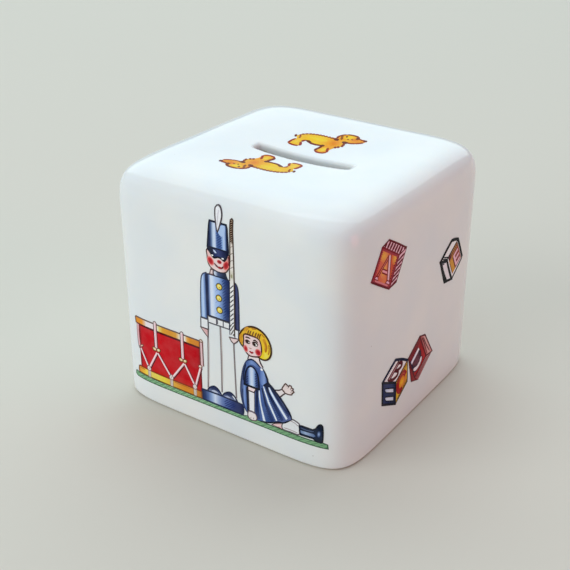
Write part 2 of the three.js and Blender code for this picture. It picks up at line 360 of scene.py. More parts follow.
def casting_rings():
    ceiling = HEIGHT - LID_WALL
    inner_floor = RECESS + FLOOR
    inner_half = HALF - WALL
    inner_reach = SHOULDER - WALL
    recess_half = HALF - FOOT_ROUND - FOOT_RING
    rings = [ring(slot(EDGE), ceiling, 0, sinks=True)]
    for z in steps(ceiling + EDGE, HEIGHT - SLOT_LIP, SLOT_RINGS):
        run = (z - ceiling) / (LID_WALL - SLOT_LIP)
        rings.append(ring(slot(0), z, run, sinks=True))
    for turn in quarter(LIP_RINGS)[1:]:
        z = HEIGHT - SLOT_LIP * (1 - math.sin(turn))
        rings.append(ring(slot(SLOT_LIP * (1 - math.cos(turn))), z, 1, True, True))
    for share in steps(0, 1, LID_RINGS)[1:-1]:
        curve = between(slot(SLOT_LIP), square(HALF - SHOULDER), share ** LID_CROWDING)
        rings.append(ring(curve, HEIGHT, 1, True, True))
    for turn in reversed(quarter(SHOULDER_RINGS)):
        rise = math.sin(turn) ** (2 / SHOULDER_POWER)
        z = HEIGHT - SHOULDER + SHOULDER * rise
        inset = SHOULDER * (1 - math.cos(turn) ** (2 / SHOULDER_POWER))
        rings.append(ring(square(HALF - inset), z, 1, True, True))
    for z in steps(HEIGHT - SHOULDER, FOOT_ROUND, WALL_RINGS)[1:]:
        rings.append(ring(square(HALF), z, 1, False, True))
    for turn in quarter(FOOT_RINGS)[1:]:
        curve = square(HALF - FOOT_ROUND * (1 - math.cos(turn)))
        rings.append(ring(curve, FOOT_ROUND * (1 - math.sin(turn)), 1 - math.sin(turn) ** 4))
    rings += [
        ring(square(HALF - FOOT_ROUND - FOOT_FLAT_EDGE), 0, 0),
        ring(square(recess_half + RING_ROUND), 0, 0),
        ring(square(recess_half + RING_ROUND / 4), RING_ROUND / 3, 0.2),
        ring(square(recess_half), RING_ROUND, 1),
        ring(square(recess_half - RECESS_DRAFT), RECESS - COVE * 7 / 8, 1),
        ring(square(recess_half - RECESS_DRAFT - COVE / 4), RECESS - COVE / 4, 1),
        ring(square(recess_half - RECESS_DRAFT - COVE), RECESS, 1),
        ring(between(circle(HOLE_RADIUS + EDGE), square(recess_half), 0.6), RECESS, 1),
        ring(between(circle(HOLE_RADIUS + EDGE), square(recess_half), 0.25), RECESS, 1),
        ring(circle(HOLE_RADIUS + EDGE), RECESS, 0.3),
        ring(circle(HOLE_RADIUS + EDGE / 4), RECESS + EDGE / 4, 0),
        ring(circle(HOLE_RADIUS), RECESS + EDGE, 0),
        ring(circle(HOLE_RADIUS), inner_floor - EDGE, 0),
        ring(circle(HOLE_RADIUS + EDGE), inner_floor, 0),
        ring(square(inner_half - INNER_FILLET), inner_floor, 0),
        ring(square(inner_half), inner_floor + INNER_FILLET, 0),
    ]
    for turn in quarter(INSIDE_RINGS):
        rise = math.sin(turn) ** (2 / SHOULDER_POWER)
        inset = inner_reach * (1 - math.cos(turn) ** (2 / SHOULDER_POWER))
        rings.append(ring(square(inner_half - inset), ceiling - inner_reach * (1 - rise), 0, True))
    for share in (0.7, 0.4, 0.15):
        rings.append(ring(between(slot(EDGE), square(inner_half - inner_reach), share), ceiling, 0, True))
    return rings


casting = bmesh.new()
loft(casting, casting_rings())
casting.normal_update()
outside = casting.verts.layers.int["outside"]
for vert in casting.verts:
    if vert[outside]:
        vert.co += vert.normal * waver(vert.co)
glaze_material = glazed_earthenware()
finished(casting, "glazed_casting", "bank", "bank_body", glaze_material)

# %% [markdown]
# ## The stopper
# A box like this is emptied through its foot, and the hole is closed by one soft moulding: a
# hollow plug with a flange, and a bar across the hollow to pull it by. A turned section is the
# honest start for it, so a profile is spun round the axis. The bar is a separate block that runs
# into the plug's wall. Every sharp edge is then bevelled, because soft vinyl comes out of its
# mould with no crisp edge anywhere. The vinyl itself is satin and slightly milky, so light goes
# a little way in, and its open grain holds the dust of a shelf.


# %% Soft vinyl
MILKY_CLOUDS, DUST, SATIN_PATCHES, MOULD_SPARK = 7, 1.1, 2.2, 0.35
VINYL_ROUGHNESS = (0.38, 0.52)


def soft_vinyl():
    material, tree, shader = new_material("soft moulded vinyl, off-white")
    where = add(tree, "TexCoord").outputs["Object"]
    cloudy = spread(tree, noise(tree, where, MILKY_CLOUDS).outputs[0], 0.35, 0.65, 0.0, 1.0)
    colour = mix(tree, cloudy, linear("e8e4d8"), linear("dfdacb"))
    dust = spread(tree, noise(tree, where, DUST, 6).outputs[0], 0.56, 0.72, 0.0, 0.35)
    tree.links.new(mix(tree, dust, colour, linear("b9b2a1")), shader.inputs["Base Color"])
    satin = spread(tree, noise(tree, where, SATIN_PATCHES, 4).outputs[0], 0.3, 0.7, *VINYL_ROUGHNESS)
    tree.links.new(satin, shader.inputs["Roughness"])
    spark = noise(tree, where, MOULD_SPARK, 1).outputs[0]
    bump = add(tree, "Bump", {"Height": spark, "Strength": 0.35, "Distance": 0.03 * MM})
    tree.links.new(bump.outputs[0], shader.inputs["Normal"])
    shader.inputs["IOR"].default_value = 1.53
    shader.inputs["Subsurface Weight"].default_value = 0.35
    shader.inputs["Subsurface Radius"].default_value = (1.0, 0.85, 0.65)
    shader.inputs["Subsurface Scale"].default_value = 2 * MM
    return material


# %% Spin the stopper
STOPPER_GAP = 0.3
PLUG_WALL = 2.2
NOSE = 1.5
LIP_ROUND = 0.9
GRIP = 4
GRIP_ROUND = 1.1
BEAD = 0.2
BEAD_HEIGHTS = (1.6, 3.4, 5.2)
VINYL_ROUND = 0.45
SHARP = math.radians(40)


def bevel_sharp(bm, offset, segments=3):
    """Rounds every edge that turns by more than the sharp angle."""
    sharp = [e for e in bm.edges if e.is_manifold and e.calc_face_angle() > SHARP]
    bmesh.ops.bevel(bm, geom=sharp, offset=offset, offset_type="OFFSET", affect="EDGES",
                    segments=segments, profile=0.5, material=-1, clamp_overlap=True)


def stopper():
    low, high = (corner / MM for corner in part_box("stopper"))
    plug = HOLE_RADIUS - STOPPER_GAP
    inside = plug - PLUG_WALL
    seat = RECESS - STOPPER_GAP
    profile = [(0, high.z - PLUG_WALL), (inside, high.z - PLUG_WALL), (inside, low.z + LIP_ROUND),
               (inside + LIP_ROUND, low.z), (high.x, low.z), (high.x, seat), (plug, seat)]
    for bead in (seat + rise for rise in BEAD_HEIGHTS):
        profile += [(plug, bead - BEAD * 2), (plug + BEAD, bead), (plug, bead + BEAD * 2)]
    profile += [(plug, high.z - NOSE), (plug - NOSE, high.z), (0, high.z)]

    bm = bmesh.new()
    points = [bm.verts.new((r, 0, z)) for r, z in profile]
    for pair in zip(points, points[1:]):
        bm.edges.new(pair)
    bmesh.ops.spin(bm, geom=bm.verts[:] + bm.edges[:], cent=(0, 0, 0), axis=(0, 0, 1), dvec=(0, 0, 0),
                   angle=2 * math.pi, steps=96, use_merge=True, use_duplicate=False)
    bmesh.ops.remove_doubles(bm, verts=bm.verts, dist=0.001)
    bevel_sharp(bm, VINYL_ROUND)

    bar = bmesh.ops.create_cube(bm, size=1)["verts"]
    base, top = low.z + VINYL_ROUND + 0.05, high.z - PLUG_WALL / 2
    bmesh.ops.scale(bm, vec=(GRIP, 2 * inside + PLUG_WALL, top - base), verts=bar)
    bmesh.ops.translate(bm, vec=(0, 0, (base + top) / 2), verts=bar)
    lower = [e for v in bar for e in v.link_edges if all(w.co.z < (base + top) / 2 for w in e.verts)]
    bmesh.ops.bevel(bm, geom=list(dict.fromkeys(lower)), offset=GRIP_ROUND, offset_type="OFFSET",
                    affect="EDGES", segments=4, profile=0.5, material=-1, clamp_overlap=True)
    bmesh.ops.recalc_face_normals(bm, faces=bm.faces)
    finished(bm, "vinyl_stopper", "stopper", "stopper", soft_vinyl())


stopper()

# %% [markdown]
# ## A pen and a pot of ink
# The pictures are screen-printed transfers: every colour is a separate pass through the screen,
# and the dark key line comes last. So a drawing here is a stack of thin layers, each a few
# thousandths of a millimetre over the one before. Geometry is used rather than an image, so an
# edge stays crisp at any distance. A layer is either an area, filled from its outline and cut
# where its tone changes, or a pen line, a row of edges that is extruded once and spread to both
# sides. Outlines have only a few given points, and a spline runs through them.
# Ink creeps as it fires, so every pen line comes out about a third wider than its stated width.
# All places and widths in the drawings are millimetres: across from the middle of the wall, then
# up from the table.

# %% Splines, ovals and tones
CURVE_STEP = 0.55


def curve(points, closed=True):
    """A smooth line through the given points, a step of about half a millimetre at a time."""
    marks = [Vector(p) for p in points]
    count = len(marks)
    spans = count if closed else count - 1
    line = []
    for i in range(spans):
        a, b, c, d = (marks[(i + k) % count] if closed else marks[min(max(i + k, 0), count - 1)]
                      for k in (-1, 0, 1, 2))
        parts = max(1, round((c - b).length / CURVE_STEP))
        for j in range(parts):
            t = j / parts
            line.append(0.5 * (2 * b + (c - a) * t + (2 * a - 5 * b + 4 * c - d) * t ** 2
                               + (3 * b - a - 3 * c + d) * t ** 3))
    if not closed:
        line.append(marks[-1])
    return [tuple(p) for p in line]


def oval(u, v, wide, high, tilt=0.0, count=22):
    """An ellipse with its half width and half height, tilted by degrees."""
    c, s = math.cos(math.radians(tilt)), math.sin(math.radians(tilt))
    around = [(wide * math.cos(a), high * math.sin(a)) for a in steps(0, 2 * math.pi, count)[:-1]]
    return [(u + x * c - y * s, v + x * s + y * c) for x, y in around]


def box(u0, v0, u1, v1):
    return [(u0, v0), (u1, v0), (u1, v1), (u0, v1)]


class Tone:
    """One ink, or a run of inks from start to end, each at its place along the way."""

    def __init__(self, start, end, *stops):
        self.start, self.end = Vector(start), Vector(end)
        self.stops = [(share, linear(ink)) for share, ink in stops]

    def at(self, place):
        run = self.end - self.start
        share = (place.xy - self.start).dot(run) / run.length_squared
        for (a, first), (b, second) in zip(self.stops, self.stops[1:]):
            if share <= b:
                part = min(1, max(0, (share - a) / (b - a)))
                return [p + (q - p) * part for p, q in zip(first, second)]
        return self.stops[-1][1]


def across(*stops):
    """A tone from left to right. The stops are places in millimetres."""
    start, end = stops[0][0], stops[-1][0]
    return Tone((start, 0), (end, 0), *[((u - start) / (end - start), ink) for u, ink in stops])


def up(*stops):
    """A tone from bottom to top. The stops are places in millimetres."""
    start, end = stops[0][0], stops[-1][0]
    return Tone((0, start), (0, end), *[((v - start) / (end - start), ink) for v, ink in stops])


def ink_of(tone):
    return tone if isinstance(tone, Tone) else Tone((0, 0), (1, 0), (0, tone))


# %% Layers of ink
FIRST_LAYER = 0.035
OVER_GROUND = 0.065
LAYER_STEP = 0.005
UNDER_GLAZE = -0.015
MITRE = 0.6
INK_SPREAD = 1.3
TAPER_TIP, TAPER_RATE = 0.3, 5
SHORTEST_STROKE = 0.2


def is_vert(part):
    return isinstance(part, bmesh.types.BMVert)


class Drawing:
    """A flat picture in millimetres, built up from layers of ink."""

    def __init__(self, height=OVER_GROUND):
        self.bm = bmesh.new()
        self.height = height
        self.laid = []

    def height_over(self, layer):
        """Just over the highest earlier layer that this one could touch."""
        u = [v.co.x for v in layer.verts]
        v = [v.co.y for v in layer.verts]
        here = min(u), min(v), max(u), max(v)
        under = [height for (u0, v0, u1, v1), height in self.laid
                 if u0 < here[2] and here[0] < u1 and v0 < here[3] and here[1] < v1]
        height = max(under) + LAYER_STEP if under else self.height
        self.laid.append((here, height))
        return height

    def press(self, layer, tone):
        """Makes a layer a closed film, colours it and lays it over the ones it meets."""
        height = self.height_over(layer)
        for vert in layer.verts:
            vert.co.z = height
        layer.normal_update()
        bmesh.ops.reverse_faces(layer, faces=[f for f in layer.faces if f.normal.z < 0])
        made = bmesh.ops.extrude_face_region(layer, geom=layer.faces[:], use_keep_orig=True)["geom"]
        for vert in filter(is_vert, made):
            vert.co.z = UNDER_GLAZE
        bmesh.ops.recalc_face_normals(layer, faces=layer.faces)
        for edge in layer.edges:
            edge.smooth = edge.calc_face_angle(0) < 1
        ink = layer.loops.layers.float_color.new("ink")
        for face in layer.faces:
            for loop in face.loops:
                loop[ink] = tone.at(loop.vert.co)
        mesh = bpy.data.meshes.new("layer")
        layer.to_mesh(mesh)
        layer.free()
        self.bm.from_mesh(mesh)
        bpy.data.meshes.remove(mesh)

    def area(self, outline, tone, line=None, width=0.35):
        """Fills an outline, and draws the line round it if it has one."""
        tone = ink_of(tone)
        layer = bmesh.new()
        marks = [layer.verts.new((u, v, 0)) for u, v in outline]
        edges = [layer.edges.new(pair) for pair in zip(marks, marks[1:] + marks[:1])]
        bmesh.ops.triangle_fill(layer, use_beauty=True, edges=edges, normal=(0, 0, 1))
        run = (tone.end - tone.start).to_3d()
        for share, _ in tone.stops[1:-1]:
            everything = layer.verts[:] + layer.edges[:] + layer.faces[:]
            bmesh.ops.bisect_plane(layer, geom=everything, plane_no=run,
                                   plane_co=tone.start.to_3d() + run * share)
        self.press(layer, tone)
        if line:
            self.lines([outline], width, line, closed=True)

    def lines(self, paths, width, tone, closed=False, taper=False):
        """Pen lines of one width and ink, in one layer."""
        layer = bmesh.new()
        mark = layer.verts.layers.int.new("mark")
        sides = []
        for path in paths:
            places = [Vector(p) for p in path]
            count = len(places)
            first = len(sides)
            for i, place in enumerate(places):
                before = places[i - 1] if closed or i else place
                after = places[(i + 1) % count] if closed or i < count - 1 else place
                into, out = (place - before).normalized(), (after - place).normalized()
                along = (into + out).normalized()
                spread_out = max(MITRE, along.dot(out if out.length else into))
                ends = min(i, count - 1 - i) / max(1, count - 1)
                swell = min(1, TAPER_TIP + TAPER_RATE * ends) if taper else 1
                half = width / 2 * INK_SPREAD * swell / spread_out
                sides.append(Vector((-along.y, along.x, 0)) * half)
            verts = [layer.verts.new((*place, 0)) for place in places]
            for i, vert in enumerate(verts):
                vert[mark] = first + i
            for pair in zip(verts, verts[1:] + (verts[:1] if closed else [])):
                layer.edges.new(pair)
        old = layer.verts[:]
        made = bmesh.ops.extrude_edge_only(layer, edges=layer.edges[:])["geom"]
        for vert in filter(is_vert, made):
            vert.co += sides[vert[mark]]
        for vert in old:
            vert.co -= sides[vert[mark]]
        layer.verts.layers.int.remove(mark)
        self.press(layer, ink_of(tone))

    def line(self, points, width, tone, closed=False, taper=True):
        self.lines([curve(points, closed)], width, tone, closed, taper and not closed)

    def strokes(self, paths, width, tone):
        """Several separate strokes of one pen, which taper at their ends."""
        self.lines([curve(path, False) for path in paths], width, tone, taper=True)

    def ruled(self, paths, width, tone):
        """Strokes of even width, as from a ruling pen."""
        self.lines([curve(path, False) for path in paths], width, tone)

    def hatch(self, outline, angle, gap, width, tone):
        """Parallel pen lines across an outline, at an angle in degrees."""
        turn = Matrix.Rotation(-math.radians(angle), 2)
        back = turn.transposed()
        level = [turn @ Vector(p) for p in outline]
        lowest, highest = min(p.y for p in level), max(p.y for p in level)
        paths = []
        for k in range(int((highest - lowest) / gap)):
            y = lowest + (k + 0.5) * gap
            hits = sorted(a.x + (b.x - a.x) * (y - a.y) / (b.y - a.y)
                          for a, b in zip(level, level[1:] + level[:1]) if (a.y < y) != (b.y < y))
            paths += [[tuple(back @ Vector((x, y))) for x in steps(start, end, 4)]
                      for start, end in zip(hits[::2], hits[1::2]) if end - start > SHORTEST_STROKE]
        if paths:
            self.lines(paths, width, tone, taper=True)

    def glow(self, u, v, wide, high, tilt, *inks):
        """A soft patch of colour: ovals inside each other, from the edge ink to the middle one."""
        for i, ink in enumerate(inks):
            size = 1 - i / len(inks)
            self.area(oval(u, v, wide * size, high * size, tilt), ink)


# %% [markdown]
# ## Laying a print on the glaze
# A wet transfer bends round the pot, so the flat drawing is cut along a grid, finely where the
# surface turns quickly, and every point is then carried to the glaze and lifted by its own
# height along the surface normal. The normal comes from two tiny steps over the surface.

# %% Lay prints on the walls and the lid
NUDGE = 0.01
FLAT_CUT = 3.0
BEND_CUT = 1.2
CORNER_CUT = 0.6
BEND_STARTS = 27
CORNER_STARTS = 34


def wall_point(u, v):
    """A point of the front wall, u across and v up, on into the shoulder and the corners."""
    half = 1 - shoulder_inset((v - HEIGHT + SHOULDER) / SHOULDER) / HALF
    room = half ** PLAN_POWER - abs(u / HALF) ** PLAN_POWER
    return Vector((u, -HALF * room ** (1 / PLAN_POWER), v))


def lid_point(u, v):
    return Vector((u, v, HEIGHT - dip(u, v)))


def cuts(low, high, cut_at):
    """Places for grid lines between two limits, where cut_at gives the spacing at a place."""
    places = []
    place = low
    while place < high:
        place += cut_at(place)
        places.append(place)
    return places


def wall_cut(u):
    if abs(u) > CORNER_STARTS:
        return CORNER_CUT
    return BEND_CUT if abs(u) > BEND_STARTS else FLAT_CUT


def lay(drawing, point, degrees, shift=(0, 0), spin=0):
    """Cuts a copy of a drawing on the grid and carries it to the glaze."""
    bm = drawing.bm.copy()
    bmesh.ops.rotate(bm, verts=bm.verts, matrix=Matrix.Rotation(math.radians(spin), 3, "Z"))
    bmesh.ops.translate(bm, verts=bm.verts, vec=(*shift, 0))
    low = [min(v.co[axis] for v in bm.verts) for axis in (0, 1)]
    high = [max(v.co[axis] for v in bm.verts) for axis in (0, 1)]
    if point is wall_point:
        lines = [(0, u) for u in cuts(low[0], high[0], wall_cut)]
        rises = cuts(low[1], high[1], lambda v: CORNER_CUT if v > HEIGHT - SHOULDER else FLAT_CUT)
    else:
        lines = [(0, u) for u in cuts(low[0], high[0], lambda u: FLAT_CUT)]
        rises = cuts(low[1], high[1], lambda v: FLAT_CUT)
    for axis, place in lines + [(1, v) for v in rises]:
        where = Vector((0, 0, 0))
        where[axis] = place
        facing = Vector((0, 0, 0))
        facing[axis] = 1
        bmesh.ops.bisect_plane(bm, geom=bm.verts[:] + bm.edges[:] + bm.faces[:],
                               plane_co=where, plane_no=facing)
    turn = Matrix.Rotation(math.radians(degrees), 3, "Z")
    for vert in bm.verts:
        u, v, height = vert.co
        here = point(u, v)
        normal = (point(u + NUDGE, v) - here).cross(point(u, v + NUDGE) - here).normalized()
        here = turn @ here
        vert.co = here + turn @ normal * (height + waver(here))
    return bm


# %% [markdown]
# ## Ceramic ink
# Transfer ink is ground metal oxide in a soft glass. In its firing it sinks into the glaze, so it
# stays smooth but mirrors little, and the blues and reds keep their depth even where the wall
# turns away. A low IOR and specular level give that. The weave of the screen breaks the colour
# into a stipple, drawn at a third of a millimetre, twice the real mesh, because a finer one would
# not show, and slow clouds lie where the squeegee pressed harder. The inks come from the colour
# attribute that the layers carry, so one material serves every colour of the print.


# %% Transfer ink
INK_CLOUDS, SCREEN_WEAVE = 3.5, 0.3
INK_ROUGHNESS = (0.10, 0.2)


def transfer_ink():
    material, tree, shader = new_material("fired transfer ink under gloss")
    where = add(tree, "TexCoord").outputs["Object"]
    ink = add(tree, "Attribute", attribute_name="ink").outputs["Color"]
    clouds = spread(tree, noise(tree, where, INK_CLOUDS).outputs[0], 0.3, 0.7, 0.0, 0.03)
    clouded = mix(tree, clouds, ink, linear("f2f4f4"))
    screen = noise(tree, where, SCREEN_WEAVE, 3).outputs[0]
    stipple = spread(tree, screen, 0.5, 0.72, 0.0, 0.2)
    darker = add(tree, "Mix", data_type="RGBA", blend_type="MULTIPLY")
    tree.links.new(stipple, darker.inputs[0])
    tree.links.new(clouded, darker.inputs[6])
    darker.inputs[7].default_value = linear("b0a8a4")
    tree.links.new(darker.outputs[2], shader.inputs["Base Color"])
    gloss = spread(tree, screen, 0.3, 0.7, *INK_ROUGHNESS)
    tree.links.new(gloss, shader.inputs["Roughness"])
    bump = add(tree, "Bump", {"Height": screen, "Strength": 0.2, "Distance": 0.01 * MM})
    tree.links.new(bump.outputs[0], shader.inputs["Normal"])
    shader.inputs["IOR"].default_value = 1.2
    shader.inputs["Specular IOR Level"].default_value = 0.1
    return material


ink_material = transfer_ink()

# %% [markdown]
# ## Printing the walls
# A drawing is made once and laid on two opposite walls, each time as a piece of its own, because
# each is a separate transfer on the pot. So every cell from here on draws one motif and prints it
# at once. Opposite walls are half a turn apart, as the hands that lay transfers turn the pot.


# %% Print a drawing on two walls
FRONT_AND_BACK = {"front": 0, "back": 180}
RIGHT_AND_LEFT = {"right": 90, "left": 270}


def print_walls(walls, motif, drawing):
    """Lays a drawing on two walls. The walls are given with their turn in degrees."""
    for wall, degrees in walls.items():
        film = lay(drawing, wall_point, degrees)
        finished(film, f"print_{wall}_{motif}", "bank", f"{wall}_{motif}", ink_material)
    drawing.bm.free()


# %% [markdown]
# ## The strip of grass
# The three figures stand on one strip of grass. It is a pale green area, cross-hatched with two
# greens and closed by an uneven dark line, as an engraver would shade a lawn.

# %% Grass
BROWN = "5a3c32"
NAVY = "1f2a4d"


def draw_ground():
    d = Drawing(FIRST_LAYER)
    strip = [(-41.7, 10.5), (-41.2, 10.8), (-20, 10.85), (0, 10.7), (9.6, 10.8), (10.8, 11.2),
            (24, 11.25), (41.2, 11.15), (42.6, 10.7), (42.8, 9.1), (38, 9.3), (20, 9.35), (0, 9.1),
            (-20, 8.95), (-41, 8.8), (-41.8, 9.3)]
    d.area(strip, across((-42, "8fbf93"), (-20, "a3cfa0"), (0, "93c397"), (20, "8fbc8c"),
            (43, "86b489")))
    d.hatch(strip, 38, 0.62, 0.26, "78ab7c")
    d.hatch(strip, 31, 1.3, 0.2, "5c8a64")
    d.lines([strip], 0.3, "3b5f45", closed=True)
    return d


print_walls(FRONT_AND_BACK, "ground", draw_ground())


# %% [markdown]
# ## The drum
# A toy side drum: a red shell between two wooden hoops, laced with cord. The hoops are round, so
# each carries a run of orange, lemon and white that stands for a shine. Every cord is three pen
# lines on top of each other, dark, pink and pale, which gives it an edge and a light side.


# %% Drum: the shell and its cords
def drum_shell(d):
    d.area(box(-38.1, 13.7, -8.7, 32), across((-38.1, "70101c"), (-37.3, "a8141f"), (-36.6, "d01824"),
            (-27, "d41722"), (-18, "cb1620"), (-10.2, "c41520"), (-9.2, "9a101c"), (-8.7, "6c0c18")))
    d.area(box(-37.2, 13.9, -9.5, 16.4), up((13.9, "cc2414"), (16.4, "d21822")))
    cords = [[(-29.4, 22.9), (-33.5, 15.4)], [(-29.0, 22.9), (-23.3, 15.1)],
            [(-16.7, 22.8), (-22.4, 15.1)], [(-16.4, 22.8), (-12.3, 15.7)],
            [(-9.1, 23.9), (-11.7, 15.5)], [(-37.6, 22), (-34.4, 15.8)]]
    d.ruled([[(a + 0.26, b - 0.1), (c + 0.26, e - 0.1)] for (a, b), (c, e) in cords], 0.95, "5a0a16")
    d.ruled(cords, 0.62, "f4bcc2")
    d.ruled([[(a - 0.08, b), (c - 0.08, e)] for (a, b), (c, e) in cords], 0.3, "fff0f0")


# %% Drum: the hoops
def drum_hoops(d):
    hoop_top = [(-39.6, 32.1), (-39.8, 34.2), (-39.3, 34.7), (-8.8, 34.7), (-8.6, 34), (-8.6, 32)]
    d.area(hoop_top, across((-39.8, "a8622a"), (-38.7, "ec9830"), (-36.2, "f69c28"), (-34.9, "f2c79a"),
            (-34, "f7ecee"), (-30.8, "f7ecee"), (-28.6, "faf6d6"), (-27.6, "f3dc78"), (-26, "eba83c"),
            (-23, "e59a32"), (-19.8, "e8a840"), (-18.7, "f5d8a4"), (-17.9, "fbf5ec"), (-15.9, "fbf3e6"),
            (-14.8, "f0b45a"), (-13.6, "e6942e"), (-10, "e08826"), (-8.6, "b0641e")), "6a3a1e", 0.34)
    d.ruled([[(-39.2, 31.9), (-24, 31.8), (-8.6, 31.8)]], 0.6, "5c1018")
    d.ruled([[(-39.4, 34.6), (-30, 34.65), (-12, 34.65), (-8.9, 34.6)]], 0.36, "6b5a58")
    hoop_low = [(-39.3, 11.2), (-39.7, 11.7), (-39.5, 13.5), (-38.9, 14), (-9.1, 13.9), (-9.1, 11)]
    d.area(hoop_low, across((-39.7, "b0682a"), (-38.7, "f0a030"), (-37, "fac038"), (-35.4, "fedc54"),
            (-33, "f3da62"), (-29, "f1e05c"), (-26.6, "f5de48"), (-24.6, "f1cc48"), (-22, "eeb642"),
            (-19, "e99e36"), (-16, "e5952e"), (-12, "e0952e"), (-9.1, "bd6f24")), "7c4a1c", 0.34)
    d.ruled([[(-38.8, 14), (-24, 13.9), (-9.2, 13.9)]], 0.42, "8e2e14")
    d.strokes([[(-39, 13.2), (-36, 13.3)], [(-22, 13.3), (-14, 13.2)]], 0.3, "cf7a28")


# %% Drum: the upright cords
def drum_uprights(d):
    for u, top, foot in ((-29.6, 35.3, 24.6), (-17.1, 35.2, 24.5)):
        d.ruled([[(u, top), (u, foot)]], 1.35, "4e1019")
        d.area(oval(u, top, 0.72, 0.62), "6c5254")
        d.ruled([[(u, top + 0.1), (u, foot)]], 0.82, across((u - 0.4, "ffeef0"), (u + 0.4, "f3b8c0")))
        d.area(oval(u, top, 0.4, 0.34), "f6e6e4")
    d.ruled([[(-38.9, 31.8), (-39.1, 28), (-38.8, 22.8), (-38.2, 21.6)]], 0.34, "8d7474")
    d.ruled([[(-38.4, 31.8), (-38.6, 28), (-38.3, 22.8)]], 0.66, "eeb6ba")
    d.ruled([[(-8.4, 34.9), (-8.35, 24.8)]], 1.3, "7a4a44")
    d.ruled([[(-8.4, 35), (-8.35, 24.8)]], 0.62, "f0c9cb")
    d.area(oval(-8.45, 34.9, 0.62, 0.5), "f3dcd2", "8a6848", 0.28)


# %% Drum: the knots
def drum_knots(d):
    for u, v in ((-29.5, 24.2), (-17.05, 24)):
        d.area(oval(u - 0.95, v, 1.0, 0.74, -12), "f0c98a", "7a3a22", 0.3)
        d.area(oval(u + 0.9, v + 0.05, 0.95, 0.72, 24), "f2d596", "7a3a22", 0.3)
        d.area(oval(u - 0.75, v + 0.15, 0.5, 0.3, -12), "faecc8")
        d.area(oval(u + 0.85, v + 0.2, 0.45, 0.28, 24), "fbf0cf")
        d.strokes([[(u, v + 0.55), (u + 0.05, v - 0.6)]], 0.28, "8a4a2a")
    d.area(oval(-37.1, 23.1, 1.05, 0.42, 36), "f4c9ae", "7a1c24", 0.26)
    d.area(oval(-9.2, 24.3, 0.82, 0.62, 20), "f9e3d4", "8a3a34", 0.26)


# %% Drum: the tags
def drum_tags(d):
    for u in (-33.8, -23, -12.1):
        d.area([(u - 0.62, 14.2), (u - 0.55, 11.1), (u + 0.6, 11.1), (u + 0.66, 14.2)], "f5ece0",
                "a08474", 0.22)
        d.strokes([[(u, 14), (u + 0.05, 11.2)]], 0.22, "b09a8c")
        d.area(curve([(u - 0.95, 14.9), (u, 16), (u + 0.95, 14.9), (u + 0.5, 13.9), (u - 0.5, 13.9)]),
                "f8f0ea", "94686a", 0.24)
        d.strokes([[(u - 0.3, 15.5), (u + 0.1, 14.8), (u - 0.1, 14)]], 0.2, "a88a88")


# %% Print the drum
drum = Drawing()
for draw_part in (drum_shell, drum_hoops, drum_uprights, drum_knots, drum_tags):
    draw_part(drum)
print_walls(FRONT_AND_BACK, "drum", drum)


# %% [markdown]
# ## The soldier
# He is a wooden toy on a stand: a tall shako with a plume, round red cheeks, a blue tunic with
# brass buttons, a rifle held upright, and white trousers, which are bare glaze between two grey
# lines. Cloth is shaded in upright bands, dark at both sides with one bright streak left of the
# middle, which is all that makes the flat figure look turned on a lathe.


# %% Soldier: the stand and boots
def soldier_stand(d):
    base = [(-8.8, 15.1), (-8.9, 13), (-8.7, 11), (0, 10.9), (9.1, 11), (9.4, 12.5), (9.3, 15),
            (5, 15.3), (0, 15.4), (-5, 15.3)]
    d.area(base, across((-8.9, "1a2448"), (-7.4, "2f4276"), (-6, "5873ac"), (-4.4, "9db6e2"),
            (-3, "dce8fb"), (-1.6, "a9bae0"), (0, "7389be"), (2.5, "4c62a0"), (5, "2f3f78"),
            (9.4, "18204a")), NAVY, 0.5)
    d.hatch(box(1, 11.4, 8.6, 14.8), 40, 0.75, 0.2, "27336a")
    for left, peak, right in ((-6.4, -3.2, 0), (0.2, 3.6, 6.8)):
        dome = curve([(left, 15.4), (left + 1.1, 17), (peak, 18.2), (right - 1.3, 17.3), (right, 15.5)],
                False)
        d.area(dome, up((15.4, "8b97bd"), (16.2, "5b6890"), (17, "2c3862"), (18.2, "202a50")), "1b2446",
                0.42)
    d.area(curve([(-4.6, 15.9), (-3.2, 16.6), (-1.6, 16.1), (-3, 15.7)]), "c3cbe2")
    d.line([(4.6, 17.2), (5.5, 16.5), (5.9, 15.8)], 0.36, "eef2fb")
    d.area(curve([(1.4, 15.8), (2.6, 16.4), (3.8, 15.9), (2.6, 15.6)]), "aeb8d6")


# %% Soldier: the trousers
def soldier_trousers(d):
    d.ruled([[(-5.2, 37.9), (-5.5, 28), (-6, 16.6)], [(0.3, 43.4), (0.35, 30), (0.15, 17)],
            [(5.9, 38.4), (6.1, 28), (6.4, 16.8)]], 0.44, "8a7f80")
    d.strokes([[(0.6, 43), (0.7, 30), (0.5, 20)], [(-4.9, 37), (-5.2, 28), (-5.6, 19)]], 0.2, "c9bcb8")


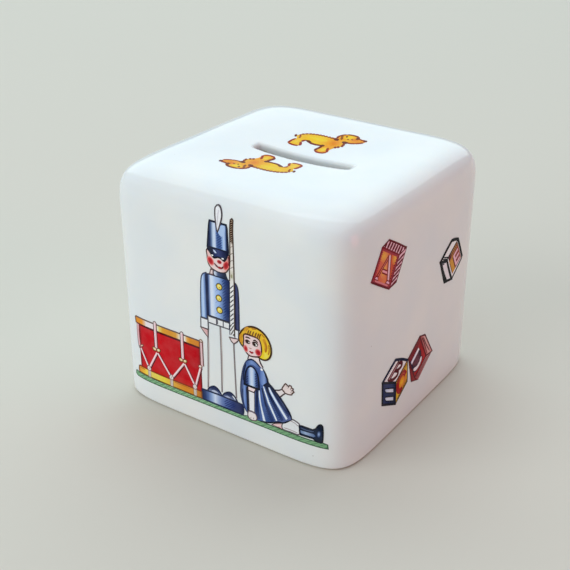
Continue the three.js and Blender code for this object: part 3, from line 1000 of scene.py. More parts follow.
# %% Soldier: the tunic
def soldier_tunic(d):
    left_sleeve = curve([(-7.9, 44.7), (-7.8, 50), (-7.55, 56), (-7.15, 60), (-6.3, 61.6), (-5, 62.3)],
            False)
    d.area(left_sleeve + [(-4.9, 44.7)], across((-7.9, "5b78b4"), (-7.2, "b4d0f8"), (-6.5, "c4dcfc"),
            (-5.9, "7d9cd2"), (-5.3, "34487c"), (-4.9, "131b3a")), "39425e", 0.36)
    d.ruled([[(-5.1, 61.6), (-5, 55), (-5, 45.2)]], 0.5, "0e1530")
    right_sleeve = curve([(6.4, 62), (7.3, 61.6), (8.1, 59.9), (8.35, 56), (8.4, 50), (8.35, 44.4)],
            False)
    d.area(right_sleeve + [(6.4, 44.4)], across((6.4, "0d1230"), (7, "1b2146"), (7.6, "464d7c"),
            (8, "3a4068"), (8.4, "252a4a")), "23273f", 0.34)
    tunic = [(-4.9, 46.2), (-4.9, 61.9), (-3.4, 62.2), (3.9, 62.2), (4.9, 61.8), (4.8, 46.2)]
    d.area(tunic, across((-4.9, "131b3c"), (-4.3, "24345f"), (-3.8, "7b95c8"), (-3.2, "e2ecfd"),
            (-2.4, "dceaff"), (-1.2, "b6cef6"), (0.4, "9cbaec"), (1.8, "6480b8"), (2.7, "3b528a"),
            (3.6, "273769"), (4.9, "161e42")), NAVY, 0.4)
    d.hatch(box(1.6, 46.8, 4.6, 61.6), 42, 0.8, 0.18, "26386c")
    d.hatch(box(-1.4, 47, 1.4, 61.6), 42, 1.6, 0.16, "7f9cd4")
    d.ruled([[(-4.8, 46.2), (0, 46.2), (4.8, 46.2)]], 0.6, "0f1634")
    for u, v in ((0.4, 58.6), (0.15, 54.2), (0.3, 49.7)):
        d.area(oval(u, v, 1.38, 1.34), "3a3a2c")
        d.area(oval(u, v, 1.05, 1.02), "e8c234")
        d.area(oval(u + 0.05, v, 0.82, 0.8), "faea74")
        d.area(oval(u - 0.2, v + 0.25, 0.4, 0.34), "faf2a8")
        d.area(oval(u + 0.2, v - 0.25, 0.26, 0.2), "c79a1e")


# %% Soldier: the belt and hands
def soldier_belt(d):
    belt = [(-4.8, 43.5), (4.2, 43.6), (4.4, 46), (-4.9, 46)]
    d.area(belt, "f3f3f4", "4b4a54", 0.36)
    d.ruled([[(-1.2, 45.8), (-1.2, 43.6)], [(1.7, 45.8), (1.65, 43.7)], [(-0.8, 45.7), (-0.75, 44)]],
            0.32, "55535c")
    d.area([(-8.1, 40.7), (-4.9, 40.7), (-4.9, 44.5), (-8, 44.5)], "f2f3f5", "4d4a54", 0.34)
    d.area([(-8.2, 40.6), (-5, 40.6), (-5.1, 37.6), (-6.4, 38.6)], "f2cfcd", "5a4444", 0.36)
    d.hatch([(-7.4, 40.4), (-5.2, 40.4), (-5.3, 38.2)], 50, 0.45, 0.16, "d9989a")
    d.area([(6.5, 40.9), (8, 41), (8.1, 44.3), (6.5, 44.3)], "f2f3f5", "4d4a54", 0.3)
    d.area([(4.2, 40.5), (8.2, 41), (7.2, 39.6), (6, 38.5), (4.9, 39.3)], "f4dbd8", "5a4444", 0.36)


# %% Soldier: the rifle
def soldier_rifle(d):
    rifle = [(5.35, 83.9), (5.9, 84.3), (6.45, 83.9), (6.62, 76), (6.65, 62), (6.4, 50), (6.35, 41.3),
            (4.4, 41.3), (4.6, 50), (4.85, 62), (4.9, 66), (5.2, 70), (5.3, 76)]
    d.area(rifle, up((41, "efefee"), (60, "f8f7f5"), (62.4, "f0ede6"), (63.6, "d8d4c0"), (65, "dcd6c4"),
            (66.4, "f4ece4"), (75, "ece2d8"), (77, "b8a08a"), (84, "b89c82")))
    d.hatch([(5.4, 76), (5.4, 83.6), (6.4, 83.6), (6.55, 76)], 35, 0.62, 0.34, "3a2418")
    d.hatch([(5.2, 66.5), (5.3, 76), (6.5, 76), (6.55, 66.5)], 40, 1.9, 0.2, "9a8a80")
    d.hatch([(4.7, 46), (4.95, 61.6), (6.4, 61.6), (6.2, 46)], 48, 1.15, 0.3, "4a4a52")
    d.hatch([(4.5, 41.6), (4.6, 46), (6.2, 46), (6.2, 41.6)], 60, 0.85, 0.3, "55504e")
    d.ruled([[(5.4, 83.9), (5.35, 76), (5.25, 70), (4.95, 66), (4.9, 62)], [(6.45, 83.9), (6.6, 76),
            (6.68, 66), (6.6, 56), (6.4, 41.4)]], 0.34, "4a382e")
    d.ruled([[(5.4, 83.8), (5.9, 84.25), (6.45, 83.8)]], 0.34, "4a382e")
    d.ruled([[(4.85, 61.8), (4.65, 52), (4.4, 41.6)]], 0.26, "33384e")
    d.area(oval(5.7, 64, 0.34, 0.7), "a8a282")


# %% Soldier: the face
def soldier_face(d):
    face = curve([(-4.1, 71.3), (-4.25, 69), (-4.1, 67.2), (-3.6, 65.8), (-2.3, 64.6), (0.6, 64),
            (3, 64.5), (4.2, 65.7), (4.75, 67.2), (4.95, 69.5), (4.6, 71.4), (0.5, 71.9)])
    d.area(face, across((-4.2, "efc3c0"), (-2, "f6dcda"), (1, "f8e0de"), (3, "f2c4c0"),
            (4.9, "c77c74")), BROWN, 0.36)
    d.glow(-2.85, 67.3, 1.3, 1.75, 35, "ee8e88", "d63c40", "c41c28", "b01420")
    d.glow(3.6, 67.3, 1.2, 1.95, -25, "ea8880", "cc3438", "b81824", "9c101c")
    d.area(oval(0.85, 67.85, 0.95, 0.7), "d2363c")
    d.area(oval(0.9, 67.8, 0.55, 0.42), "8e1420")
    d.line([(-1.4, 66.9), (-0.4, 66.1), (0.9, 65.6), (1.9, 65.9), (2.5, 66.7)], 0.5, "5c1218")
    d.area(oval(0.95, 65.75, 0.85, 0.42), "a81824")
    d.line([(4.75, 70.8), (4.95, 69.2), (4.8, 67.4)], 0.5, "5a1a1c")


# %% Soldier: the collar
def soldier_collar(d):
    collar = [(-1.7, 64.3), (0.6, 63.9), (3.1, 64.2), (3.5, 63), (4, 62.2), (-1.4, 62.2), (-1.9, 63)]
    d.area(collar, across((-1.9, "e6ecf6"), (-0.9, "c6d2e8"), (0, "4d5e88"), (1.6, "2b3c5e"),
            (3, "16203a"), (4, "121a34")), "20283f", 0.36)
    d.area([(-2.9, 64.2), (-1.9, 64.2), (-2, 62.4), (-3.4, 62.4)], "eed9d8", "6e4e50", 0.3)


# %% Soldier: the shako and plume
def soldier_shako(d):
    shako = [(-2.9, 81.7), (3.8, 81.7), (4.2, 80.6), (4.6, 72.3), (-4, 72.3), (-3.1, 80.6)]
    d.area(shako, across((-4, "141c3c"), (-2.9, "232f58"), (-2.2, "55709f"), (-1.5, "cfe0fa"),
            (-0.7, "d6e4fb"), (-0.2, "6c8ac4"), (0.4, "3f5c98"), (1.6, "45639f"), (2.2, "8fb0e6"),
            (3, "c6dafa"), (3.5, "7f9ed4"), (3.9, "222e56"), (4.6, "10172f")))
    d.hatch([(-0.2, 73), (-0.2, 78.4), (2.2, 78.4), (2.2, 73)], 38, 0.7, 0.2, "27407c")
    d.area(curve([(0.6, 78.6), (1.6, 80.8), (3.2, 81.2), (3.3, 79), (2, 77.2)]), "b7d0f6")
    d.lines([shako], 0.5, "141b34", closed=True)
    d.ruled([[(-4, 72.3), (0, 72.1), (4.6, 72.3)]], 0.42, "0f1630")
    visor = curve([(-4.05, 72), (-3.9, 71.1), (-3.1, 70.6), (-2.3, 69.8), (-1.4, 69), (-0.5, 69.3),
            (0.8, 69.8), (1.9, 69.3), (2.7, 68.8), (3.3, 69.3), (3.8, 70.3), (4.5, 71), (4.6, 72),
            (0.3, 72.1)])
    d.area(visor, across((-4, "0e142c"), (-2.2, "141b38"), (0.4, "34427a"), (2.2, "222c58"),
            (4.6, "0c1228")))
    d.area(curve([(-1.7, 71.8), (-1, 71.7), (-0.2, 70.8), (-0.8, 70.6), (-1.4, 71.1)]), "c9d8f4")
    d.strokes([[(-3.9, 71.1), (-2.9, 70.3), (-1.6, 68.9), (-0.6, 69.1), (0.5, 69.5), (1.8, 69.2),
            (2.8, 68.7), (3.5, 69.5), (4.4, 70.8)]], 0.5, "0b0f20")
    d.area(oval(-1.95, 69.4, 0.62, 0.44), "15121a")
    d.area(oval(-2, 69.55, 0.42, 0.28), "ffffff")
    d.area(oval(2.45, 69.2, 0.72, 0.44), "15121a")
    d.area(oval(2.3, 69.45, 0.5, 0.26), "ffffff")
    plume = curve([(-0.3, 87.1), (0.7, 86.7), (1.5, 85.6), (1.9, 84.2), (1.7, 82.4), (1, 79.8),
            (0.35, 78.6), (0, 79.6), (-0.4, 82), (-0.9, 84.4), (-1.25, 86.2), (-0.9, 86.9)])
    d.area(plume, across((-1.2, "fcfcfd"), (0.4, "f4f3f6"), (1.8, "fdfdfe")), "4a3e44", 0.4)
    d.strokes([[(0.3, 85.8), (0.4, 83), (0.3, 80.4)]], 0.2, "cfc8d2")


# %% Print the soldier
soldier = Drawing()
for draw_part in (soldier_stand, soldier_trousers, soldier_tunic, soldier_belt, soldier_rifle,
                  soldier_face, soldier_collar, soldier_shako):
    draw_part(soldier)
print_walls(FRONT_AND_BACK, "soldier", soldier)


# %% [markdown]
# ## The rag doll
# She sits on the grass with her legs out: a mop of yellow wool, a round painted face, a blue
# pleated dress and dark boots. The dress is one outline filled with blue. Its pleats are long
# wedges that run from the waist to the hem, pale on the fold and navy in the shade, and they are
# what gives the skirt its fullness.


# %% Doll: the leg and boot
def doll_leg(d):
    thigh = [(21.4, 11.7), (22.6, 12.7), (25.8, 14), (25.8, 11.6)]
    d.area(thigh, "f8dcdc", "5a3a3a", 0.3)
    d.hatch(thigh, 25, 0.7, 0.16, "e8aeae")
    sock = curve([(25.7, 13.7), (27.4, 15.4), (29.3, 16.9), (31, 16.8), (32.6, 15.9), (32.5, 13.6),
            (32.3, 11.8), (29, 11.7), (25.9, 11.7)])
    d.area(sock, "eff0f1", "6a6064", 0.36)
    d.strokes([[(28.6, 16.2), (30.4, 16), (32.2, 15.1)], [(26.2, 12.4), (29, 12.5), (31.8, 12.3)]],
            0.24, "a89498")
    boot = [(32.4, 15.5), (33.6, 15.8), (37.6, 15.6), *curve([(38.6, 16.3), (39.3, 17.6), (40.1, 18.3),
            (40.9, 17.8), (41.1, 14.4), (40.9, 11.4), (40, 11.1), (38.8, 11.3)], False), (37.7, 12.1),
            (33, 12), (32.6, 13.8)]
    d.area(boot, up((11, "0d1526"), (13, "1c2a44"), (16, "13203a"), (18.3, "0d1424")), "0b1122", 0.36)
    d.area([(32.9, 13.9), (37.9, 14), (38.6, 13.3), (38, 12.8), (33.1, 12.8)], across((32.9, "6c86b0"),
            (35, "a2b8da"), (38.6, "50689a")))
    d.glow(39.7, 14.4, 0.62, 1.3, -8, "3a4e7a", "6e86b4", "a4badc")
    d.strokes([[(33, 14.9), (35.5, 14.7), (38, 15)]], 0.22, "56688e")


# %% Doll: the raised hand
def doll_hand(d):
    hand = curve([(25.6, 27.7), (26.2, 29), (27, 30.2), (27.7, 29.8), (28.1, 29.4), (28.6, 30.1),
            (29.2, 30), (29.4, 29.4), (30, 29.2), (29.8, 28.5), (30.3, 28), (29.7, 27.4), (29.4, 26.7),
            (28.3, 26.4), (27.1, 26.4), (26.3, 26.8)])
    d.area([(22.2, 26), (24.2, 26.6), (25.6, 27.6), (27, 26.5), (26, 25.6), (24.6, 23.9)], "f3e9e8")
    d.area(hand, "f4e2de", BROWN, 0.36)
    d.strokes([[(22.2, 26), (24.2, 26.6), (25.7, 27.6)], [(24.6, 23.9), (26, 25.5), (27.1, 26.5)]],
            0.36, "4a3a3c")
    d.strokes([[(25.7, 27.5), (26.4, 27), (26.8, 26.5)], [(28.1, 29.4), (27.9, 28.6)],
            [(29.4, 29.3), (28.8, 28.6)], [(29.8, 28.4), (29, 28.1)], [(29.6, 27.4), (28.9, 27.5)],
            [(27.1, 29.8), (27.3, 29)]], 0.3, BROWN)


# %% Doll: the dress and its pleats
DRESS = curve([(13.3, 34.9), (11.3, 33.8), (9.9, 31), (8.9, 26.5), (8.4, 21.5), (8.8, 17.5),
        (9.8, 14.5), (11.4, 12.4), (14.6, 11.5), (16.5, 11.4), (19.2, 11.8), (21.5, 12.6),
        (24, 13.8), (26.2, 14.3), (27.9, 15.5), (29.4, 16.7), (29, 18.4), (27.2, 21), (24.6, 24),
        (22, 26.4), (19.9, 28.1), (19.6, 29.4), (18.4, 32), (16.9, 33.2), (15.1, 34.4)])


def doll_dress(d):
    d.area(DRESS, across((8.4, "33426e"), (9, "5c6ea0"), (9.8, "3a4d86"), (11.4, "5d7bb8"),
            (14, "3c5490"), (17, "4a66a6"), (20, "3f588f"), (24, "4a5f98"), (29.4, "5f6ca0")))
    pale = [[(16.1, 24), (16.4, 24), (17.1, 18), (18.8, 12), (17.7, 11.9), (16.6, 17.5), (16, 21)],
            [(17.8, 26), (18.2, 26), (20.4, 21), (23.7, 14.2), (23.1, 13.9), (19.8, 19.8)],
            [(19.9, 26.7), (20.3, 26.7), (23.6, 22.2), (27.9, 16.6), (27.2, 15.9), (23, 21),
            (20.6, 24.4)]]
    dark = [[(14.9, 23.4), (15.7, 23.6), (15.8, 18), (16.4, 12), (14.8, 11.7), (14.6, 17)], [(17.1, 25),
            (17.6, 25), (19.3, 19.4), (22.4, 13.4), (21, 12.6), (18.5, 18.6)], [(18.7, 26.3),
            (19.6, 26.5), (22.6, 21.6), (26.3, 15.4), (25.2, 14.6), (21.5, 20.6), (19.4, 24.2)],
            [(20.4, 27.4), (22.2, 26), (25, 22.7), (28.7, 18.4), (28.4, 17.2), (24.6, 21.4),
            (21.6, 25)]]
    for wedge in dark:
        d.area(wedge, Tone(wedge[0], wedge[3], (0, "121a36"), (0.5, "1f2c58"), (1, "2e4278")))
    for wedge in pale:
        d.area(wedge, Tone(wedge[0], wedge[3], (0, "a4c0ee"), (0.55, "b4ccf4"), (1, "dce9fc")))
        middle = [tuple((Vector(a) + Vector(b)) / 2) for a, b in ((wedge[0], wedge[1]),
                (wedge[2], wedge[-1]), (wedge[3], wedge[4]))]
        d.line(middle, 0.4, "f4f9ff")
    d.hatch([(22.8, 25), (28.6, 18.6), (28.2, 17.4), (22.4, 24.2)], -20, 0.7, 0.2, "16204a")
    d.hatch([(19.4, 18.6), (22.6, 14), (20, 12.6), (18.6, 16)], 40, 0.6, 0.18, "2b3f78")
    d.hatch([(20.4, 22.5), (25.2, 15.2), (24.2, 14.4), (20, 21)], 35, 0.7, 0.18, "2b3f78")


# %% Doll: the bodice and the arm in shade
def doll_bodice(d):
    bodice = curve([(16.6, 33.1), (18.4, 31.6), (19.5, 29.2), (19.8, 28.2), (18, 26.3), (16.9, 26.6),
            (16.3, 29.8)])
    d.area(bodice, across((16.3, "3d5694"), (17.2, "6c8aca"), (18.4, "8da8de"), (19.2, "5a76b6"),
            (19.8, "26345f")))
    d.area(curve([(11.4, 33.4), (13.3, 34.5), (15.2, 33.9), (16.6, 32.7), (15.6, 32.4), (13.4, 33),
            (11.6, 32.2)]), across((11.4, "4a64a2"), (13.2, "7f9dd6"), (16.6, "4c66a4")))
    d.area(curve([(17.9, 26.2), (19.9, 28), (21.2, 26.8), (19.6, 26.2)]), "18213f")
    cuff = [(9.2, 23.6), (10.9, 23.7), (11.4, 17.6), (11.8, 13.2), (11, 13), (9.6, 16.4)]
    d.area(cuff, across((9.2, "2a3a6c"), (9.9, "8aa8e0"), (10.6, "5a78bc"), (11.8, "141c38")))
    d.line([(11.1, 23.4), (11.3, 19), (11.5, 15), (11.4, 12.7)], 0.8, "10172f")
    d.area([(10.8, 15), (11.9, 14.2), (11.6, 12.7), (11.1, 12.5)], "0f1630")
    d.strokes([[(9.2, 22), (9.1, 18.5), (9.9, 15.2)]], 0.3, "23305c")


# %% Doll: the near arm
def doll_sleeve(d):
    d.area([(11.7, 22.2), (14.3, 22.2), (14.2, 13.4), (11.9, 13.4)], "f3f3f6", "4c4c60", 0.3)
    d.area(curve([(11.9, 13.8), (14.1, 13.8), (15.1, 12.4), (14.9, 11), (14, 10.5), (12.7, 10.3),
            (11.6, 10.9), (11.2, 12.2)]), "f5ecea", "6a5458", 0.32)
    d.strokes([[(12.6, 11.6), (12.5, 10.6)], [(13.6, 11.7), (13.7, 10.8)]], 0.22, "9a7c78")
    d.ruled([[(11.9, 13.5), (13, 13.7), (14.2, 13.5)]], 0.26, "8a8290")
    d.area([(11.5, 23.9), (14.9, 23.9), (14.5, 22.8), (14, 22), (11.5, 22.1)], "fae4e4", "3c2e36", 0.36)
    sleeve = curve([(10.1, 24.1), (10.5, 28), (11.3, 30.6), (12.4, 31.9), (13.4, 32.1), (14.7, 31.4),
            (15.7, 29.5), (16.1, 27), (16.3, 24.1)], False)
    d.area(sleeve, across((10.1, "101830"), (11, "2b3d70"), (11.7, "4c68a6"), (12.3, "a4c0ee"),
            (12.9, "dae7fb"), (13.6, "d2e1fa"), (14.3, "8fadde"), (15, "3a5290"), (16.3, "121a36")),
            "0f1730", 0.5)
    d.hatch([(14.5, 24.6), (14.5, 30.6), (15.8, 28), (16, 24.6)], 42, 0.7, 0.2, "1a2650")
    d.hatch([(10.6, 24.6), (11, 28.4), (11.8, 29), (11.8, 24.6)], 42, 0.7, 0.2, "1a2650")
    d.ruled([[(9.9, 24), (13, 23.95), (16.3, 24)]], 0.6, "0a0e1e")


# %% Doll: the lines of the dress
def doll_dress_lines(d):
    d.lines([DRESS[: len(DRESS) // 3]], 0.3, "36456f")
    d.line([(11.4, 33.9), (9.9, 31), (8.9, 26.5), (8.4, 21.5), (8.8, 17.5), (9.8, 14.5), (11.4, 12.4)],
            0.4, "36436a")
    d.line([(10.9, 32.4), (9.9, 28.8), (9.5, 25.2)], 0.34, "1b2548")
    d.line([(16.5, 11.4), (19.2, 11.8), (21.5, 12.6), (24, 13.8), (26.2, 14.3), (27.9, 15.5),
            (29.4, 16.7)], 0.42, "10162c")
    d.line([(29.5, 16.6), (29, 18.4), (27.2, 21), (24.6, 24), (22, 26.4), (19.9, 28.1), (19.6, 29.4),
            (18.4, 32), (17.6, 33)], 0.55, "121a36")
    d.line([(18, 26.2), (19, 27.2), (19.9, 28.1)], 0.4, "121a36")


# %% Doll: the neck and collar
def doll_neck(d):
    d.area([(12.1, 36.6), (11.7, 34.6), (13.3, 35), (15.1, 34.4), (16.9, 33.2), (17.9, 33.2),
            (16.8, 35), (16.4, 36.8)], "f7e9e9")
    d.strokes([[(12.2, 36.4), (12, 35.4), (11.6, 34.4)], [(16.4, 36.3), (16.9, 34.7), (18, 33.2)]],
            0.36, "4e3c44")
    d.line([(11.3, 33.9), (13.3, 35), (15.2, 34.4), (17, 33)], 0.44, "161d3a")
    d.area(oval(17.4, 32.4, 0.5, 0.46), "fafafc")


# %% Doll: the hair and face
def doll_head(d):
    hair = curve([(9.7, 39), (8.8, 39.9), (8.3, 41.5), (8.9, 43.9), (10.3, 45.8), (12.4, 47.2),
            (15, 47.7), (17.8, 46.9), (20, 44.9), (21.2, 42.2), (21.2, 39.4), (20.1, 37.3),
            (18.3, 36.4), (16.3, 36.7), (13, 37.4), (10.8, 38.6)])
    d.area(hair, Tone((9, 46), (20, 38), (0, "f0b432"), (0.3, "f8cc30"), (0.65, "f6c42c"),
            (0.85, "fad830"), (1, "fce444")), "4a2c10", 0.5)
    locks = [[(18.3, 44.6), (19.3, 42.2), (19.1, 39.8)], [(10.6, 45), (11.4, 46.2), (12.4, 46.9)],
            [(9.4, 43.6), (9, 41.8), (9.4, 40)]]
    d.strokes(locks, 0.9, "dc9c28")
    d.strokes([[(18.9, 43.6), (19.5, 41.6), (19, 39.6)], [(20.3, 43), (20.6, 41), (20.2, 39)],
            [(17.4, 46.2), (18.9, 45)], [(13.4, 46.9), (15.4, 47.2)]], 0.38, "c07c1e")
    d.strokes([[(18.6, 39.4), (19.4, 38.4), (18.4, 37.5)]], 0.8, "fae85a")
    doll_face = curve([(10.4, 43.8), (13, 44.1), (16.1, 43.9), (17.2, 42.2), (17.5, 39.6), (16.8, 37.5),
            (15.2, 36.6), (12.6, 36.2), (11.2, 37.1), (10.1, 38.8), (10.2, 41.4)])
    d.area(doll_face, across((10.1, "f1c8c4"), (12.5, "f8dcdb"), (15, "f8dedd"), (17.5, "f0c2c0")),
            "4e2e26", 0.42)
    for u in (10.9, 11.9, 12.9, 13.9, 14.9, 15.8):
        d.area([(u - 0.5, 44), (u + 0.1, 46), (u + 0.55, 44)], "e9b43a")
    d.strokes([[(u, 43.9), (u + 0.2, 45), (u + 0.7, 46.1)] for u in (11.9, 12.7, 13.8, 14.9, 15.9,
            16.6)], 0.34, "7c4a1c")
    d.strokes([[(10.4, 43.7), (10.9, 44.2), (13.4, 44.2), (16.2, 44)]], 0.42, "5a3420")
    d.glow(11, 38.5, 0.9, 1.35, 12, "ea8884", "cf3238", "bc1a26")
    d.glow(16.1, 38.6, 1.3, 1.35, -10, "ea8884", "cf3238", "bc1a26", "a81420")
    d.strokes([[(10.9, 42.8), (11.9, 43.1), (13, 42.9)], [(14.1, 42.5), (15, 42.9), (16.1, 42.2)]],
            0.44, "3c201c")
    d.area(oval(11.9, 41.2, 1, 0.62), "5c342a")
    d.area(oval(11.8, 41.15, 0.62, 0.5), "1e0e0c")
    d.area(oval(12.4, 41.3, 0.26, 0.24), "f4ece8")
    d.area(oval(14.9, 41.25, 1.15, 0.78), "4c2a22")
    d.area(oval(15.05, 41.25, 0.7, 0.54), "f8f0ec")
    d.area(oval(14.75, 41.2, 0.46, 0.5), "1a0c0a")
    d.strokes([[(10.7, 41.5), (11.8, 42), (12.9, 41.5)], [(13.6, 41.6), (14.9, 42.2), (16.2, 41.5)]],
            0.34, "2a1612")
    d.strokes([[(12.2, 39.3), (12.9, 39.1), (13.5, 39.3)]], 0.32, "c68a86")
    d.area(curve([(12.3, 37.9), (12.9, 38.2), (13.3, 38), (13.8, 38.2), (14.3, 37.9), (13.4, 37.2)]),
            "a81e2a")


# %% Print the doll
doll = Drawing()
for draw_part in (doll_leg, doll_hand, doll_dress, doll_bodice, doll_sleeve, doll_dress_lines,
                  doll_neck, doll_head):
    draw_part(doll)
print_walls(FRONT_AND_BACK, "doll", doll)


# %% [markdown]
# ## Alphabet blocks
# Each toy block is drawn as three faces of a cube. A helper places a face's unit square on its
# parallelogram, so a letter is thought out upright and lands slanted. Letters are pen strokes, a
# dark wide one under a pale narrow one. The sides are hatched, as an engraver darkens a side.


# %% Block helpers
LETTER_EDGE = 0.75
WHOLE_FACE = ((0, 0), (1, 0), (1, 1), (0, 1))


def on_face(corner, right, down):
    """Carries points of the unit square to the face with these three corners."""
    corner, right, down = Vector(corner), Vector(right), Vector(down)

    def place(*points):
        return [tuple(corner + (right - corner) * x + (down - corner) * y) for x, y in points]
    return place


def letter(d, place, paths, width, ink, edge):
    """A letter from strokes in the unit square, with a dark edge."""
    strokes = [place(*path) for path in paths]
    d.lines(strokes, width + LETTER_EDGE, edge)
    d.lines(strokes, width, ink)


# %% Upper block
def draw_block_upper():
    d = Drawing()
    edge = "8c141c"
    place = on_face((-29.4, 78.2), (-18.2, 71.2), (-35.2, 68.2))
    top = [(-29.4, 78.2), (-25.2, 79.2), (-13.3, 72), (-18.2, 71.2)]
    side = [(-18.2, 71.2), (-13.3, 72), (-19.4, 61.8), (-24, 61.3)]
    d.area(place(*WHOLE_FACE), Tone((-34, 70), (-20, 68), (0, "cc4048"), (0.25, "e66c52"),
            (0.5, "f08a54"), (0.75, "e0603c"), (1, "a01a28")))
    d.glow(-28.2, 74.6, 2.7, 2, -32, "f08e50", "f6a850", "fab850")
    d.glow(-20.8, 71, 2.4, 2.2, -50, "ea8244", "f2a044", "f8b448")
    d.glow(-28, 69.4, 2.1, 2.6, -10, "f2905c", "f8ac56", "fcbe54")
    d.hatch(place((0, 0), (0.1, 0), (0.1, 1), (0, 1)), -30, 0.75, 0.3, "7a2234")
    d.hatch(place((0.9, 0), (1, 0), (1, 1), (0.86, 1)), -5, 0.8, 0.4, "5a0c18")
    d.lines([place((0.03, 0.03), (0.97, 0.03), (0.97, 0.97), (0.03, 0.97))], 0.9, "b03a48", closed=True)
    d.lines([place((0.14, 0.93), (0.86, 0.93))], 0.45, "e58a90")
    letter(d, place, [[(0.48, 0.14), (0.17, 0.84)]], 0.3, "f0806c", edge)
    letter(d, place, [[(0.36, 0.6), (0.68, 0.6)]], 0.55, "fcaab6", edge)
    letter(d, place, [[(0.5, 0.12), (0.83, 0.84)]], 0.8, "ffd0da", edge)
    for foot in ((0.08, 0.27), (0.7, 0.94)):
        d.area(place((foot[0], 0.89), (foot[0] + 0.05, 0.8), (foot[1] - 0.05, 0.8), (foot[1], 0.89)),
                "ffc4da", edge, 0.3)
    for strip, angle, gap in ((top, 40, 1.85), (side, 14, 1.3)):
        d.area(strip, "fcc8d6")
        d.hatch(strip, angle, gap, gap * 0.5, "6a0c20")
        d.lines([strip], 0.4, "6a0c1e", closed=True)
    d.lines([place((0, 0), (0, 1), (1, 1), (1, 0), (0, 0))], 0.44, "861224")
    d.ruled([[(-25.4, 79.2), (-19.4, 75.7), (-13.5, 72)], [(-35, 68), (-29.6, 64.6), (-24.1, 61.3)]],
            0.52, "6a0e1e")
    return d


print_walls(RIGHT_AND_LEFT, "block_upper", draw_block_upper())


# %% Middle block
def draw_block_middle():
    d = Drawing()
    black = "06080f"
    place = on_face((18.7, 54.4), (27.1, 59.5), (24.4, 44.5))
    top = [(13.6, 55.4), (21.8, 61), (27.1, 59.5), (18.7, 54.4)]
    side = [(13.6, 55.4), (18.7, 54.4), (24.4, 44.5), (18.3, 45.7)]
    d.area(place(*WHOLE_FACE), "ffffff")
    d.area(place((0.12, 0), (0.92, 0), (0.92, 0.86), (0.12, 0.86)), Tone((20, 53), (31, 52),
            (0, "d89c34"), (0.4, "c8803c"), (0.7, "b0504a"), (1, "b46a5c")))
    d.area(place((0.12, 0), (0.92, 0), (0.92, 0.2), (0.12, 0.22)), "5c1820")
    d.hatch(place((0.3, 0.02), (0.92, 0.02), (0.92, 0.2), (0.3, 0.2)), 34, 1.1, 0.34, "d89a50")
    d.lines([place((0.26, 0.3), (0.26, 0.84))], 2.3, "6a2410")
    d.lines([place((0.26, 0.3), (0.26, 0.84))], 1.7, "e0a238")
    arms = [place((0.48, low), (0.84, low)) for low in (0.32, 0.54, 0.76)]
    d.lines(arms + [place((0.5, 0.3), (0.5, 0.78))], 1.5, "6c1024")
    d.lines(arms + [place((0.5, 0.3), (0.5, 0.78))], 0.9, "fcc8d2")
    d.area(top, "ffffff", black, 0.7)
    d.hatch([(13.8, 55.4), (16.4, 57), (20, 55.2), (18.7, 54.4)], -18, 0.66, 0.4, "0a0c16")
    d.area(side, "f8f6fa", black, 0.85)
    d.hatch([(13.8, 55.2), (18.6, 54.2), (19.4, 53.2), (14.4, 53.9)], -14, 0.55, 0.36, "15182c")
    d.ruled([[(18.4, 46.5), (20.8, 45.4), (24.2, 44.8)]], 0.7, black)
    d.ruled([[(14.4, 54.6), (16.4, 50.6), (19.2, 46.2)], [(18.9, 54.2), (21, 50), (23.9, 45)]], 0.95,
            black)
    d.ruled([[(13.6, 55.5), (17.8, 58.4), (21.8, 61)], [(21.6, 61), (24.4, 60.5), (27.1, 59.6)],
            [(27, 59.7), (29.4, 55.6), (32.4, 50.3)]], 0.95, black)
    d.ruled([[(24.6, 44.7), (28.4, 47.5), (32.3, 50.2)]], 0.6, "101216")
    return d


print_walls(RIGHT_AND_LEFT, "block_middle", draw_block_middle())


